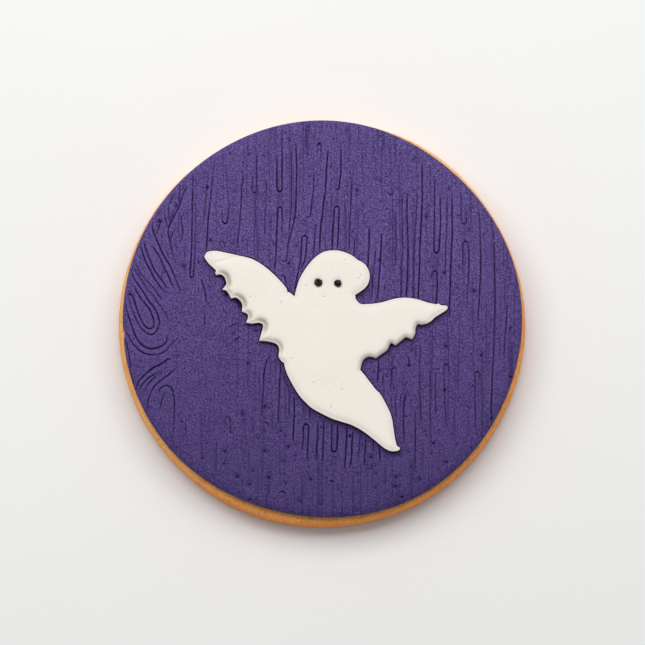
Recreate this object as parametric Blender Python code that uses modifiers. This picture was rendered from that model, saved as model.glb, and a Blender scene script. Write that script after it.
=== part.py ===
"""Round iced sugar biscuit: a baked disc, a disc of sugar paste embossed with woodgrain,
a flying ghost cut from white sugar paste, and its two eyes of black icing.

Metres, +Z up. The origin is the middle of the underside, and the ghost's head points to +Y."""

import math

import bmesh
import bpy
import numpy as np
from mathutils import Matrix, Vector
from mathutils.geometry import delaunay_2d_cdt

MM = 0.001

# Driving dimensions, in millimetres
GAP = 0.3
BISCUIT_RADIUS = 40.27
BISCUIT_THICKNESS = 5.5
BISCUIT_TOP_ROUND = (1.4, 2.0)
BISCUIT_FOOT_ROUND = (1.1, 1.3)
BISCUIT_SIDES = 96
SHOULDER_STEPS = 5
FOOT_STEPS = 3
ICING_RADIUS = 39.39
ICING_BOTTOM = BISCUIT_THICKNESS + GAP
ICING_TOP = ICING_BOTTOM + 2.2
ICING_EDGE_ROUND = 0.9
ICING_SIDES = 96
ICING_EDGE_STEPS = 3
GHOST_BOTTOM = ICING_TOP + GAP
GHOST_TOP = GHOST_BOTTOM + 1.4
EYE_HEIGHT = 0.6
EYE_SEGMENTS = 16
EYE_RINGS = 8
DIMPLE_DEPTH = 0.35
DIMPLE_RADIUS = 1.5
DEEP_GROOVE = 0.27
FINE_GROOVE = 0.2
# A channel's axis lies above the icing's face, and higher still at its ends, as shares of its radius
GROOVE_LIFT = 0.1
GROOVE_END_LIFT = 1.2
# Longest step along a channel, in millimetres, and the sharpest turn between two steps
GROOVE_STEP = 6.0
GROOVE_TURN = math.radians(24)
# Where two faces meet at more than this, the edge between them is sharp
SHARP_EDGE = math.radians(50)
SHARP_GRAIN = math.radians(35)
# Vertices closer than this, in metres, are one
MERGE_DISTANCE = 0.00001

# How far each outline strays from its circle: the number of waves round the rim, their height,
# and the direction of one crest in degrees from +X. One wave is a shift to that side.
BISCUIT_WAVES = [(1, 0.08, 178), (2, 0.14, 83), (3, 0.11, -49), (4, 0.05, -22), (5, 0.06, -4), (6, 0.07, 5)]
ICING_WAVES = [(1, 0.47, 96), (2, 0.15, -60), (3, 0.17, -37), (4, 0.11, 19), (5, 0.12, 10)]

# Eyes: place and radius
EYES = {"eye_left": ((-0.83, 7.35), 0.82), "eye_right": ((3.0, 7.2), 0.70)}

# The grain is pressed into the icing as narrow channels. A line is a list of places along it,
# and a slot is a narrow U: its two sides, each from its open end, joined by a half circle.
DEEP_LINES = [
    [(-21.6, 31.8), (-22.2, 24.2), (-22.7, 17.9), (-22.9, 14.0)],
    [(-5.3, 35.3), (-5.1, 29.5), (-5.2, 25.0), (-5.5, 20.4), (-6.4, 16.7), (-6.9, 14.1), (-7.1, 12.2)],
    [(1.1, 33.9), (0.6, 26.0), (0.0, 21.1), (-0.6, 13.8)],
    [(3.7, 33.0), (3.4, 27.7), (3.2, 26.3), (2.9, 26.0), (2.5, 26.2)],
    [(5.9, 28.3), (5.5, 21.6), (5.2, 14.0)],
    [(9.2, 18.5), (9.1, 15.0), (8.9, 10.5)],
    [(11.7, 17.5), (11.4, 12.7), (10.8, 5.0)],
    [(16.7, 25.3), (16.8, 15.0), (16.7, 9.0), (16.5, 4.9)],
    [(19.7, 31.9), (19.6, 22.7), (19.1, 10.0), (18.8, 4.8)],
    [(25.5, 25.4), (25.5, 18.3), (25.3, 10.0), (24.9, 0.7)],
    [(30.8, 22.0), (31.1, 15.0), (31.1, 8.0), (30.5, -0.5)],
    [(33.7, 18.0), (34.0, 6.0), (33.7, -4.0), (33.3, -13.0), (33.1, -19.3)],
    [(-8.3, -8.6), (-8.5, -14.0), (-8.7, -21.0)],
    [(-5.6, -15.0), (-5.6, -20.0), (-5.8, -24.2)],
    [(0.2, -19.8), (0.2, -22.4), (0.0, -28.0)],
    [(4.8, -21.2), (4.6, -25.0), (4.3, -29.3)],
    [(6.0, -22.0), (5.7, -25.5), (5.3, -29.0)],
]
FINE_LINES = [
    [(-15.9, 28.6), (-16.2, 21.6), (-16.9, 15.0)],
    [(-6.2, 34.5), (-6.1, 24.2), (-6.6, 17.5)],
    [(-3.3, 38.0), (-3.3, 34.0)],
    [(-1.7, 29.5), (-2.0, 24.2), (-2.3, 21.6), (-2.8, 20.5), (-3.3, 20.7)],
    [(-1.4, 19.2), (-1.6, 15.0), (-1.8, 13.3)],
    [(-11.7, 28.0), (-11.1, 27.2), (-11.2, 22.5), (-11.4, 18.0), (-11.8, 17.0)],
    [(6.3, 16.5), (6.2, 13.1)],
    [(10.4, 13.8), (10.0, 9.0), (9.5, 3.9)],
    [(14.4, 21.6), (14.5, 16.0), (14.4, 11.0)],
    [(15.7, 25.0), (15.7, 12.7), (15.5, 5.5)],
    [(18.6, 25.8), (18.2, 16.0), (17.9, 7.0)],
    [(24.6, 25.0), (24.4, 17.0), (24.2, 8.0)],
    [(36.4, 4.7), (36.1, -0.4), (35.6, -8.8)],
    [(-10.4, -6.8), (-11.4, -10.0), (-11.7, -14.0), (-12.0, -19.5)],
    [(-7.6, -10.8), (-6.7, -13.6), (-6.6, -19.0)],
    [(-1.0, -19.5), (-1.0, -23.3), (-1.2, -27.6)],
    [(7.4, -22.6), (7.2, -26.7)],
    [(8.4, -23.0), (8.2, -29.0)],
    [(11.2, -25.0), (11.2, -28.3)],
    [(11.0, -8.0), (10.8, -12.0)],
    [(14.5, -14.4), (14.3, -17.6), (14.5, -19.5)],
    [(16.7, -13.9), (16.0, -16.8), (15.9, -24.0)],
    [(18.2, -17.6), (18.2, -30.0)],
    [(19.1, -5.0), (19.2, -13.6), (19.4, -20.3)],
    [(21.1, -10.4), (21.1, -19.0), (21.4, -26.4)],
    [(22.2, -9.9), (22.2, -18.4)],
    [(-10.5, -31.0), (-10.5, -34.9)],
    [(-23.8, 7.8), (-23.5, 6.9), (-23.2, 5.5)],
    [(-8.6, -34.2), (-8.0, -33.8), (-7.3, -34.5)],
    [(1.3, -31.9), (1.8, -31.7), (2.4, -32.1)],
    [(-11.6, -20.3), (-11.1, -20.2), (-10.5, -20.8)],
    [(-19.2, -19.0), (-18.7, -19.0), (-18.2, -19.7), (-18.1, -22.2)],
]
DEEP_SLOTS = [
    ([(-9.0, 33.0), (-9.0, 26.2)], [(-8.0, 36.0), (-8.0, 26.2)]),
    ([(-9.5, 10.3), (-9.1, 16.0), (-8.9, 22.1)], [(-8.0, 17.2), (-7.9, 22.1)]),
    ([(-4.8, 10.0), (-4.3, 12.8), (-4.1, 16.4)], [(-4.2, 10.1), (-3.4, 12.8), (-3.1, 16.4)]),
    ([(1.9, 14.2), (2.2, 20.0), (2.3, 22.3)], [(2.9, 14.2), (3.2, 20.0), (3.3, 22.3)]),
    ([(22.1, 28.7), (22.0, 20.0), (22.0, 13.9)], [(23.2, 25.2), (23.2, 19.0), (22.9, 13.9)]),
    ([(21.5, 7.5), (21.6, 9.3)], [(22.3, 3.9), (22.6, 7.0), (22.6, 9.3)]),
    ([(-3.9, -25.2), (-3.8, -21.1)], [(-3.0, -27.6), (-2.7, -21.1)]),
    ([(1.8, -20.4), (1.7, -25.5)], [(3.0, -20.4), (2.7, -25.5)]),
]
FINE_SLOTS = [
    ([(-25.6, 29.5), (-25.8, 16.0), (-26.1, 8.9)], [(-25.0, 29.8), (-25.1, 16.0), (-25.4, 8.9)]),
    ([(-19.8, 22.0), (-19.8, 19.8)], [(-18.5, 24.0), (-18.7, 19.8)]),
    ([(-13.9, 29.0), (-13.9, 25.9)], [(-13.0, 34.0), (-13.0, 25.9)]),
    ([(27.3, 25.3), (27.4, 19.7)], [(28.5, 21.8), (28.4, 19.7)]),
    ([(27.6, 10.3), (27.7, 15.3)], [(28.5, 6.2), (28.9, 12.0), (28.7, 15.3)]),
    ([(13.4, -13.6), (13.6, -9.8)], [(14.6, -11.2), (14.5, -9.8)]),
    ([(24.2, -21.3), (24.0, -14.7), (23.8, -9.2)], [(25.0, -10.7), (24.8, -9.2)]),
    ([(30.0, -22.0), (29.9, -10.6)], [(30.9, -11.5), (30.9, -10.6)]),
]
# The two knots at the left edge, each a nest of loops that the grain flows round
UPPER_KNOT = [
    [(-38.0, 5.2), (-37.2, 4.2), (-36.6, 2.6), (-35.4, -0.4), (-34.6, -1.4), (-33.8, -1.6), (-33.2, -0.6),
     (-33.5, 0.9), (-34.8, 3.2), (-36.5, 5.5), (-37.4, 7.4)],
    [(-38.3, 4.7), (-37.2, 1.4), (-36.0, -1.2), (-34.9, -2.3), (-33.5, -2.7), (-32.4, -1.6), (-32.1, -0.2),
     (-32.6, 1.3), (-34.3, 4.0), (-36.3, 7.2), (-37.7, 9.7)],
    [(-39.0, 3.6), (-37.9, 0.0), (-36.7, -3.3), (-35.8, -4.6), (-33.6, -5.6), (-31.4, -5.0), (-30.5, -3.0)],
    [(-38.8, -1.8), (-37.3, -4.7), (-35.8, -6.1), (-33.6, -6.8), (-31.3, -6.3), (-29.9, -5.0)],
    [(-38.6, -4.4), (-37.9, -8.0), (-37.1, -12.6), (-36.6, -14.1)],
    [(-37.2, 11.9), (-35.7, 9.1), (-33.2, 6.4), (-31.5, 4.2)],
    [(-37.3, 10.6), (-35.3, 7.6), (-32.4, 3.5), (-30.9, 1.2), (-30.4, 0.0)],
    [(-35.8, 14.7), (-34.8, 11.6), (-33.0, 8.2), (-30.8, 5.5)],
    [(-35.4, 15.9), (-34.0, 12.0), (-32.7, 9.4), (-30.6, 6.4)],
    [(-33.6, 14.8), (-31.8, 12.0), (-30.5, 9.1), (-29.3, 6.4)],
    [(-33.7, 19.2), (-31.8, 14.1), (-29.6, 9.8), (-28.2, 6.4)],
    [(-26.7, 27.2), (-28.7, 22.0), (-30.5, 17.8), (-29.8, 14.5), (-28.9, 11.5)],
]
LOWER_KNOT = [
    [(-36.6, -13.3), (-36.0, -12.0), (-34.3, -10.2), (-31.8, -8.7), (-29.9, -7.6)],
    [(-36.0, -13.9), (-34.8, -12.0), (-33.7, -11.1), (-31.7, -10.1)],
    [(-35.0, -14.3), (-34.4, -12.9), (-33.4, -11.7), (-31.5, -10.5)],
    [(-34.4, -18.0), (-34.2, -15.8), (-33.2, -13.3), (-31.3, -11.6), (-28.7, -9.3)],
    [(-32.1, -14.5), (-31.8, -13.5), (-30.5, -12.9), (-29.6, -13.7), (-29.1, -15.9), (-29.1, -20.0), (-29.6, -23.4)],
    [(-30.9, -14.3), (-31.7, -16.4), (-32.1, -18.2)],
]

# The ghost's outline, clockwise from the tip of its left sleeve. Each run is a smooth curve
# through its places, and runs meet in corners. CRISP edges turn over tightly; SOFT ones are
# pressed down over a wide slope, as along the scalloped hems of the sleeves.
CRISP = (0.45, 0.8)
SOFT = (1.5, 0.45)
GHOST_RUNS = [
    (CRISP, [(-23.3, 12.4), (-22.8, 13.5), (-21.5, 13.8), (-16.7, 12.9), (-12.5, 11.4), (-8.8, 8.3), (-7.0, 6.0)]),
    (CRISP, [(-6.9, 5.4), (-6.5, 5.4), (-5.5, 4.6)]),
    (CRISP, [(-5.2, 6.0), (-4.5, 8.2), (-3.4, 10.3), (-1.8, 12.4), (0.0, 13.6), (1.8, 13.9), (3.6, 13.8),
             (5.6, 13.0), (7.2, 11.8)]),
    (CRISP, [(7.6, 11.7), (8.6, 10.9), (9.3, 9.3), (9.2, 7.7), (8.4, 6.3), (6.4, 4.9)]),
    (CRISP, [(6.5, 4.1), (7.4, 3.2), (9.2, 3.2), (14.2, 4.3), (16.4, 4.5), (18.6, 4.2), (22.3, 3.2)]),
    (CRISP, [(22.8, 3.3), (23.3, 3.0), (24.3, 2.9), (24.6, 2.4), (24.1, 1.6), (22.2, 0.4), (20.5, -0.9)]),
    (SOFT, [(20.5, -0.9), (18.7, -1.1), (18.2, -2.4), (17.6, -4.1)]),
    (SOFT, [(17.6, -4.1), (16.4, -3.6), (15.7, -4.1), (14.3, -5.4)]),
    (SOFT, [(14.3, -5.4), (13.4, -4.8), (12.7, -6.3), (11.5, -7.0), (10.4, -7.8)]),
    (SOFT, [(10.4, -7.8), (8.8, -7.5), (7.9, -8.3), (7.5, -9.9)]),
    (CRISP, [(7.5, -9.9), (8.3, -10.8), (11.1, -14.4), (13.1, -17.9), (14.0, -21.7), (14.7, -25.0)]),
    (CRISP, [(15.3, -25.4), (15.0, -26.1), (13.5, -26.3), (10.1, -24.1), (5.7, -20.9), (1.5, -19.6),
             (-1.8, -17.6), (-4.6, -14.6), (-6.5, -11.5), (-7.6, -8.6)]),
    (SOFT, [(-8.0, -8.3), (-8.5, -7.3), (-8.7, -5.7), (-9.4, -4.7), (-10.9, -4.3), (-12.5, -4.2)]),
    (SOFT, [(-12.5, -4.2), (-12.1, -2.8), (-11.7, -1.1), (-12.5, -0.6), (-13.9, -0.8), (-15.1, -0.6)]),
    (SOFT, [(-15.1, -0.6), (-14.8, 0.6), (-15.2, 1.1), (-15.9, 1.5)]),
    (SOFT, [(-15.9, 1.5), (-16.0, 3.0), (-16.5, 3.8), (-17.2, 4.3), (-18.0, 4.0)]),
    (SOFT, [(-18.0, 4.0), (-18.4, 5.0), (-18.9, 5.7), (-19.8, 6.0)]),
    (SOFT, [(-19.8, 6.0), (-19.0, 7.0), (-19.1, 7.6), (-19.4, 8.4), (-20.2, 8.8), (-20.9, 8.6)]),
    (CRISP, [(-20.9, 8.6), (-21.3, 9.2), (-21.1, 9.8), (-22.5, 11.2), (-23.3, 12.4)]),
]
OUTLINE_STEP = 0.85
OUTLINE_TURN = math.radians(30)
SAME_PLACE = 0.05
BLEND_REACH = 2
INNER_CORNER = math.radians(40)
RING_SHARES = (0.12, 0.45, 1.0)
RING_SPACING = 0.15
RING_SLACK = 0.97
INNER_STEP = 2.6


def clear_scene():
    for old in list(bpy.data.objects):
        bpy.data.objects.remove(old)


def new_collection(name):
    collection = bpy.data.collections.new(name)
    bpy.context.scene.collection.children.link(collection)
    return collection


def new_material(name, colour, roughness):
    material = bpy.data.materials.new(name)
    material.use_nodes = True
    shader = material.node_tree.nodes["Principled BSDF"]
    shader.inputs["Base Color"].default_value = (*colour, 1.0)
    shader.inputs["Roughness"].default_value = roughness
    shader.inputs["Metallic"].default_value = 0.0
    return material


def add_object(name, mesh, collection, material=None):
    part = bpy.data.objects.new(name, mesh)
    collection.objects.link(part)
    if material:
        mesh.materials.append(material)
    return part


def mesh_from(name, bm):
    mesh = bpy.data.meshes.new(name)
    bm.to_mesh(mesh)
    bm.free()
    return mesh


def evaluated_mesh(part):
    graph = bpy.context.evaluated_depsgraph_get()
    return bpy.data.meshes.new_from_object(part.evaluated_get(graph))


def smooth_route(points, longest, sharpest):
    """A smooth curve through the points, with more steps where it turns more."""
    places = [Vector((*p, 0.0)) for p in points]
    before = places[0] * 2 - places[1]
    after = places[-1] * 2 - places[-2]
    padded = [before, *places, after]
    route = [places[0]]
    for a, b, c, d in zip(padded, padded[1:], padded[2:], padded[3:]):
        turn = (b - a).angle(c - b) + (c - b).angle(d - c)
        steps = max(1, math.ceil((c - b).length / longest), math.ceil(turn / 2 / sharpest))
        for i in range(1, steps + 1):
            t = i / steps
            route.append(0.5 * (2 * b + (c - a) * t + (2 * a - 5 * b + 4 * c - d) * t ** 2
                                + (3 * b - 3 * c + d - a) * t ** 3))
    return route


def slot_points(side, other):
    """One line down a slot's side, round its half-circle end and back up the other side."""
    start = Vector(side[-1])
    finish = Vector(other[-1])
    middle = (start + finish) / 2
    outward = (start - Vector(side[-2])).normalized() * (finish - start).length / 2
    turns = (math.pi / 4, math.pi / 2, math.pi * 3 / 4)
    bend = [middle + (start - middle) * math.cos(t) + outward * math.sin(t) for t in turns]
    return [*side, *[tuple(p) for p in bend], *reversed(other)]


def stray(angle, waves):
    """How far an uneven outline lies outside its circle in one direction."""
    return sum(height * math.cos(count * (angle - math.radians(crest))) for count, height, crest in waves)


def make_uneven(mesh, radius, waves):
    """Push a round piece's vertices in or out so that its rim follows the waves."""
    for vertex in mesh.vertices:
        reach = math.hypot(vertex.co.x, vertex.co.y)
        if reach > 0:
            angle = math.atan2(vertex.co.y, vertex.co.x)
            scale = 1 + stray(angle, waves) / radius * min(1, reach / (radius * MM))
            vertex.co.x *= scale
            vertex.co.y *= scale


def quarter_round(centre, reach, first, count):
    """Points along a quarter of an ellipse, clockwise from the angle first."""
    return [(centre[0] + reach[0] * math.cos(first - math.pi / 2 * i / count),
             centre[1] + reach[1] * math.sin(first - math.pi / 2 * i / count)) for i in range(count + 1)]


def make_biscuit(collection):
    """A turned disc with a domed shoulder and a tucked-in foot, then made a little uneven."""
    top_x, top_z = BISCUIT_TOP_ROUND
    foot_x, foot_z = BISCUIT_FOOT_ROUND
    shoulder = quarter_round((BISCUIT_RADIUS - top_x, BISCUIT_THICKNESS - top_z), BISCUIT_TOP_ROUND, math.pi / 2,
                             SHOULDER_STEPS)
    foot = quarter_round((BISCUIT_RADIUS - foot_x, foot_z), BISCUIT_FOOT_ROUND, 0.0, FOOT_STEPS)
    profile = [(0.0, BISCUIT_THICKNESS), *shoulder, *foot, (0.0, 0.0)]
    bm = bmesh.new()
    verts = [bm.verts.new((x * MM, 0.0, z * MM)) for x, z in profile]
    for a, b in zip(verts, verts[1:]):
        bm.edges.new((a, b))
    turned = add_object("biscuit_profile", mesh_from("biscuit_profile", bm), collection)
    screw = turned.modifiers.new("turn", "SCREW")
    screw.steps = BISCUIT_SIDES
    screw.render_steps = BISCUIT_SIDES
    screw.use_merge_vertices = True
    screw.merge_threshold = MERGE_DISTANCE
    mesh = evaluated_mesh(turned)
    bpy.data.objects.remove(turned)
    make_uneven(mesh, BISCUIT_RADIUS, BISCUIT_WAVES)
    biscuit = add_object("biscuit", mesh, collection, new_material("baked_biscuit", (0.46, 0.20, 0.07), 0.75))
    mesh.shade_smooth()
    mesh.set_sharp_from_angle(angle=SHARP_EDGE)
    return biscuit


def groove_cutter(name, points, radius, collection):
    """A tube along a grain line, sunk by half, that rises out of the icing at both ends."""
    route = smooth_route(points, GROOVE_STEP, GROOVE_TURN)
    curve = bpy.data.curves.new(name, "CURVE")
    curve.dimensions = "3D"
    curve.twist_mode = "Z_UP"
    curve.bevel_depth = radius * MM
    curve.bevel_resolution = 1
    curve.use_fill_caps = True
    spline = curve.splines.new("POLY")
    spline.points.add(len(route) - 1)
    axis_height = ICING_TOP + radius * GROOVE_LIFT
    for point, place in zip(spline.points, route):
        point.co = (place.x * MM, place.y * MM, axis_height * MM, 1.0)
    for end in (spline.points[0], spline.points[-1]):
        end.co.z += radius * GROOVE_END_LIFT * MM
    tube = add_object(name + "_tube", curve, collection)
    bm = bmesh.new()
    bm.from_mesh(evaluated_mesh(tube))
    bmesh.ops.remove_doubles(bm, verts=bm.verts, dist=MERGE_DISTANCE)
    bmesh.ops.recalc_face_normals(bm, faces=bm.faces)
    bpy.data.objects.remove(tube)
    cutter = add_object(name, mesh_from(name, bm), collection)
    cutter.hide_render = True
    cutter.display_type = "WIRE"
    return cutter


def make_icing(collection, cutters):
    """A disc with a rounded upper edge, and the woodgrain cut into its top."""
    thickness = ICING_TOP - ICING_BOTTOM
    middle = (ICING_TOP + ICING_BOTTOM) / 2 * MM
    bm = bmesh.new()
    bmesh.ops.create_cone(bm, cap_ends=True, segments=ICING_SIDES, radius1=ICING_RADIUS * MM,
                          radius2=ICING_RADIUS * MM, depth=thickness * MM,
                          matrix=Matrix.Translation((0.0, 0.0, middle)))
    top_rim = [e for e in bm.edges if all(v.co.z > middle for v in e.verts)]
    bmesh.ops.bevel(bm, geom=top_rim, offset=ICING_EDGE_ROUND * MM, segments=ICING_EDGE_STEPS, profile=0.5,
                    affect="EDGES")
    mesh = mesh_from("icing_disc", bm)
    make_uneven(mesh, ICING_RADIUS, ICING_WAVES)
    icing = add_object("icing_disc", mesh, collection, new_material("purple_icing", (0.095, 0.068, 0.205), 0.6))
    deep = DEEP_LINES + [slot_points(*sides) for sides in DEEP_SLOTS] + UPPER_KNOT[:4] + LOWER_KNOT[:1]
    fine = FINE_LINES + [slot_points(*sides) for sides in FINE_SLOTS] + UPPER_KNOT[4:] + LOWER_KNOT[1:]
    for kind, lines, radius in (("deep", deep, DEEP_GROOVE), ("fine", fine, FINE_GROOVE)):
        for i, points in enumerate(lines):
            groove_cutter(f"{kind}_grain_{i}", points, radius, cutters)
    cut = icing.modifiers.new("grain", "BOOLEAN")
    cut.operation = "DIFFERENCE"
    cut.operand_type = "COLLECTION"
    cut.collection = cutters
    mesh.shade_smooth()
    mesh.set_sharp_from_angle(angle=SHARP_GRAIN)
    return icing


def ghost_outline():
    """Places round the ghost, clockwise, and the width and wall of the edge at each."""
    places = []
    rolls = []
    for roll, points in GHOST_RUNS:
        for place in smooth_route(points, OUTLINE_STEP, OUTLINE_TURN):
            if not places or (place - places[-1]).length > SAME_PLACE:
                places.append(place)
                rolls.append(roll)
    if (places[0] - places[-1]).length < SAME_PLACE:
        places.pop()
        rolls.pop()
    rolls = np.array(rolls)
    shifts = range(-BLEND_REACH, BLEND_REACH + 1)
    blended = sum(np.roll(rolls, shift, axis=0) for shift in shifts) / len(shifts)
    return np.array([p.xy for p in places]), blended


def edge_share(points, places, rolls):
    """How far each point is in from the outline, as a share of the edge's width, and the wall there."""
    run = np.roll(places, -1, axis=0) - places
    away = points[:, None, :] - places[None, :, :]
    along = np.clip((away * run).sum(axis=2) / (run ** 2).sum(axis=1), 0, 1)
    share = np.linalg.norm(away - along[:, :, None] * run, axis=2) / rolls[:, 0]
    nearest = share.argmin(axis=1)
    return np.minimum(share.min(axis=1), 1), rolls[nearest, 1]


def ghost_height(points, places, rolls):
    """The top of the ghost: an edge that rolls over into a flat face with two dimples for eyes."""
    share, wall = edge_share(points, places, rolls)
    height = GHOST_BOTTOM + wall + (GHOST_TOP - GHOST_BOTTOM - wall) * np.sqrt(1 - (1 - share) ** 2)
    for eye, _ in EYES.values():
        away = np.minimum(np.linalg.norm(points - eye, axis=1) / DIMPLE_RADIUS, 1)
        height -= DIMPLE_DEPTH * (1 - away ** 2) ** 2
    return height


def is_inside(point, places):
    """True where a line towards +X crosses the outline an odd number of times."""
    low, high = places, np.roll(places, -1, axis=0)
    spans = (low[:, 1] > point[1]) != (high[:, 1] > point[1])
    low, high = low[spans], high[spans]
    across = low[:, 0] + (point[1] - low[:, 1]) / (high[:, 1] - low[:, 1]) * (high[:, 0] - low[:, 0])
    return (across > point[0]).sum() % 2 == 1


def ring_candidates(places, rolls, share):
    """Places one share of the edge's width in from the outline, fanned out round inner corners."""
    run = np.roll(places, -1, axis=0) - places
    run /= np.linalg.norm(run, axis=1)[:, None]
    inward = np.stack([run[:, 1], -run[:, 0]], axis=1)
    before = np.roll(inward, 1, axis=0)
    middle = before + inward
    middle /= np.linalg.norm(middle, axis=1)[:, None]
    ring = []
    for place, first, half, last, roll in zip(places, before, middle, inward, rolls):
        corner = first @ last < math.cos(INNER_CORNER)
        for way in (first, half, last) if corner else (half,):
            ring.append((place + way * roll[0] * share, share))
    return ring


def ghost_inner_places(places, rolls):
    """Places inside the outline: rings along the rolled edge and round the eyes, and a wide grid."""
    candidates = []
    for share in RING_SHARES:
        candidates += ring_candidates(places, rolls, share)
    for eye, _ in EYES.values():
        for reach, count in ((0.0, 1), (DIMPLE_RADIUS / 2, 8), (DIMPLE_RADIUS, 12)):
            for turn in np.arange(count) / count * math.tau:
                candidates.append((np.array(eye) + reach * np.array([math.cos(turn), math.sin(turn)]), 1.0))
    low, high = places.min(axis=0), places.max(axis=0)
    for x in np.arange(low[0], high[0], INNER_STEP):
        for y in np.arange(low[1], high[1], INNER_STEP):
            candidates.append((np.array([x, y]), 1.0))
    reached, _ = edge_share(np.array([c for c, _ in candidates]), places, rolls)
    inner = []
    for (place, share), reach in zip(candidates, reached):
        apart = all(math.dist(place, other) > RING_SPACING for other in inner)
        if reach >= share * RING_SLACK and apart and is_inside(place, places):
            inner.append(place)
    return np.array(inner)


def make_ghost(collection):
    """The cut-out as one closed solid: rolled top, upright wall and flat underside."""
    places, rolls = ghost_outline()
    flat = np.concatenate([places, ghost_inner_places(places, rolls)])
    loop = list(reversed(range(len(places))))
    verts, _, faces, _, _, _ = delaunay_2d_cdt([Vector(p) for p in flat], [], [loop], 1, 1e-6)
    heights = ghost_height(np.array(verts), places, rolls)
    bm = bmesh.new()
    top = [bm.verts.new((v.x * MM, v.y * MM, height * MM)) for v, height in zip(verts, heights)]
    for face in faces:
        bm.faces.new([top[i] for i in face])
    rim = [e for e in bm.edges if e.is_boundary]
    wall = bmesh.ops.extrude_edge_only(bm, edges=rim)["geom"]
    foot = [g for g in wall if isinstance(g, bmesh.types.BMVert)]
    for vert in foot:
        vert.co.z = GHOST_BOTTOM * MM
    foot_rim = [g for g in wall if isinstance(g, bmesh.types.BMEdge) and all(v in foot for v in g.verts)]
    bmesh.ops.contextual_create(bm, geom=foot_rim)
    bmesh.ops.recalc_face_normals(bm, faces=bm.faces)
    mesh = mesh_from("ghost", bm)
    ghost = add_object("ghost", mesh, collection, new_material("white_icing", (0.86, 0.80, 0.71), 0.6))
    mesh.shade_smooth()
    mesh.set_sharp_from_angle(angle=SHARP_EDGE)
    return ghost


def make_eye(name, place, radius, collection, material):
    """A low bead of icing that sits in its dimple."""
    bm = bmesh.new()
    bmesh.ops.create_uvsphere(bm, u_segments=EYE_SEGMENTS, v_segments=EYE_RINGS, radius=1.0)
    half = EYE_HEIGHT / 2
    bmesh.ops.scale(bm, vec=(radius * MM, radius * MM, half * MM), verts=bm.verts)
    mesh = mesh_from(name, bm)
    eye = add_object(name, mesh, collection, material)
    eye.location = (place[0] * MM, place[1] * MM, (GHOST_TOP - DIMPLE_DEPTH + GAP + half) * MM)
    mesh.shade_smooth()
    return eye


def main():
    clear_scene()
    parts = new_collection("iced_biscuit")
    cutters = new_collection("grain_cutters")
    make_biscuit(parts)
    make_icing(parts, cutters)
    make_ghost(parts)
    black = new_material("black_icing", (0.006, 0.006, 0.008), 0.35)
    for name, (place, radius) in EYES.items():
        make_eye(name, place, radius, parts, black)


main()
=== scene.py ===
"""A round sugar biscuit under a disc of purple sugar paste pressed with woodgrain, with a white
flying ghost and its two eyes on top. Metres, +Z up; sizes and lists of places are in millimetres."""

import math

import bmesh
import bpy
import numpy as np
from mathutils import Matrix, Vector, noise
from mathutils.geometry import delaunay_2d_cdt


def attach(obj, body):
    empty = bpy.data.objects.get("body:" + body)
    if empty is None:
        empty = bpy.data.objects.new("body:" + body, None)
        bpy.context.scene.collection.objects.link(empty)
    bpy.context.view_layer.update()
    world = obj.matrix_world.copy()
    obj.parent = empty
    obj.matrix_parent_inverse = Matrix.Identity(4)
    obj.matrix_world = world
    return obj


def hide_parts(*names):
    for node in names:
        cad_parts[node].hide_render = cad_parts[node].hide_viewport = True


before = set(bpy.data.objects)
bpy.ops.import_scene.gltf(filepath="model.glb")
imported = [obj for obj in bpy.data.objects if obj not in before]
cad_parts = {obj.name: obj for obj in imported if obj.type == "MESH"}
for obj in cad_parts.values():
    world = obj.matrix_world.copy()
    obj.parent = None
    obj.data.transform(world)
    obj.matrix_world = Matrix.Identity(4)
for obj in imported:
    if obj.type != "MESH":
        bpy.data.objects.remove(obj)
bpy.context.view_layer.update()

# The biscuit: rolled sugar dough, cut with a plain round cutter and baked pale gold. Its
# shoulder rose into a dome and its foot tucks in where it sat on the tray; the cut side shows
# a fine layered crumb with pores, and the underside is flatter and browner.
MM = 0.001
biscuit_radius = 40.27
biscuit_top = 5.5
biscuit_waves = [(1, 0.08, 178), (2, 0.14, 83), (3, 0.11, -49), (4, 0.05, -22), (5, 0.06, -4), (6, 0.07, 5)]
shoulder = (1.4, 2.0)
foot = (1.1, 1.3)
rim_count = 960
shoulder_rows = 15
side_rows = 11
foot_rows = 9
crumb_depth = 0.16
crumb_lumps = 0.9
crumb_layers = (3.0, 3.0, 0.5)
top_edge_crumb = 0.25
top_step = 3.0
base_step = 0.75
base_hollow = 0.14
base_lumps = 5.0
# Pores: how far apart they are, how far each reaches and how deep it is
side_pores = (1.3, 0.3, 0.14)
base_pores = (3.1, 0.9, 0.2)


def stray(angle, waves):
    """How far an uneven outline lies outside its circle in each direction."""
    return sum(height * np.cos(count * (angle - math.radians(crest))) for count, height, crest in waves)


def directions(count):
    """Evenly spaced angles, and the unit step outward at each."""
    angles = np.arange(count) / count * math.tau
    return angles, np.stack([np.cos(angles), np.sin(angles)], axis=1)


def cloud(points, size, seed=0.0):
    """A soft uneven value, about -1 to 1, at each point, with lumps about size across."""
    points = np.column_stack([points, np.zeros((len(points), 3 - points.shape[1]))])
    return np.array([noise.fractal(Vector(p), 0.9, 2.0, 3) for p in (points / size + seed).tolist()])


def bowl(distance, reach):
    """1 in the middle of a round hollow, falling to 0 at its reach."""
    return np.clip(1 - (distance / reach) ** 2, 0, 1)


def pores(points, sizes, seed=0.0):
    """1 in the middle of scattered small hollows, falling to 0 at their edge."""
    spacing, reach, _ = sizes
    near = np.array([noise.voronoi(Vector(p))[0][0] for p in (points / spacing + seed).tolist()])
    return bowl(near * spacing, reach) ** 2


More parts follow.
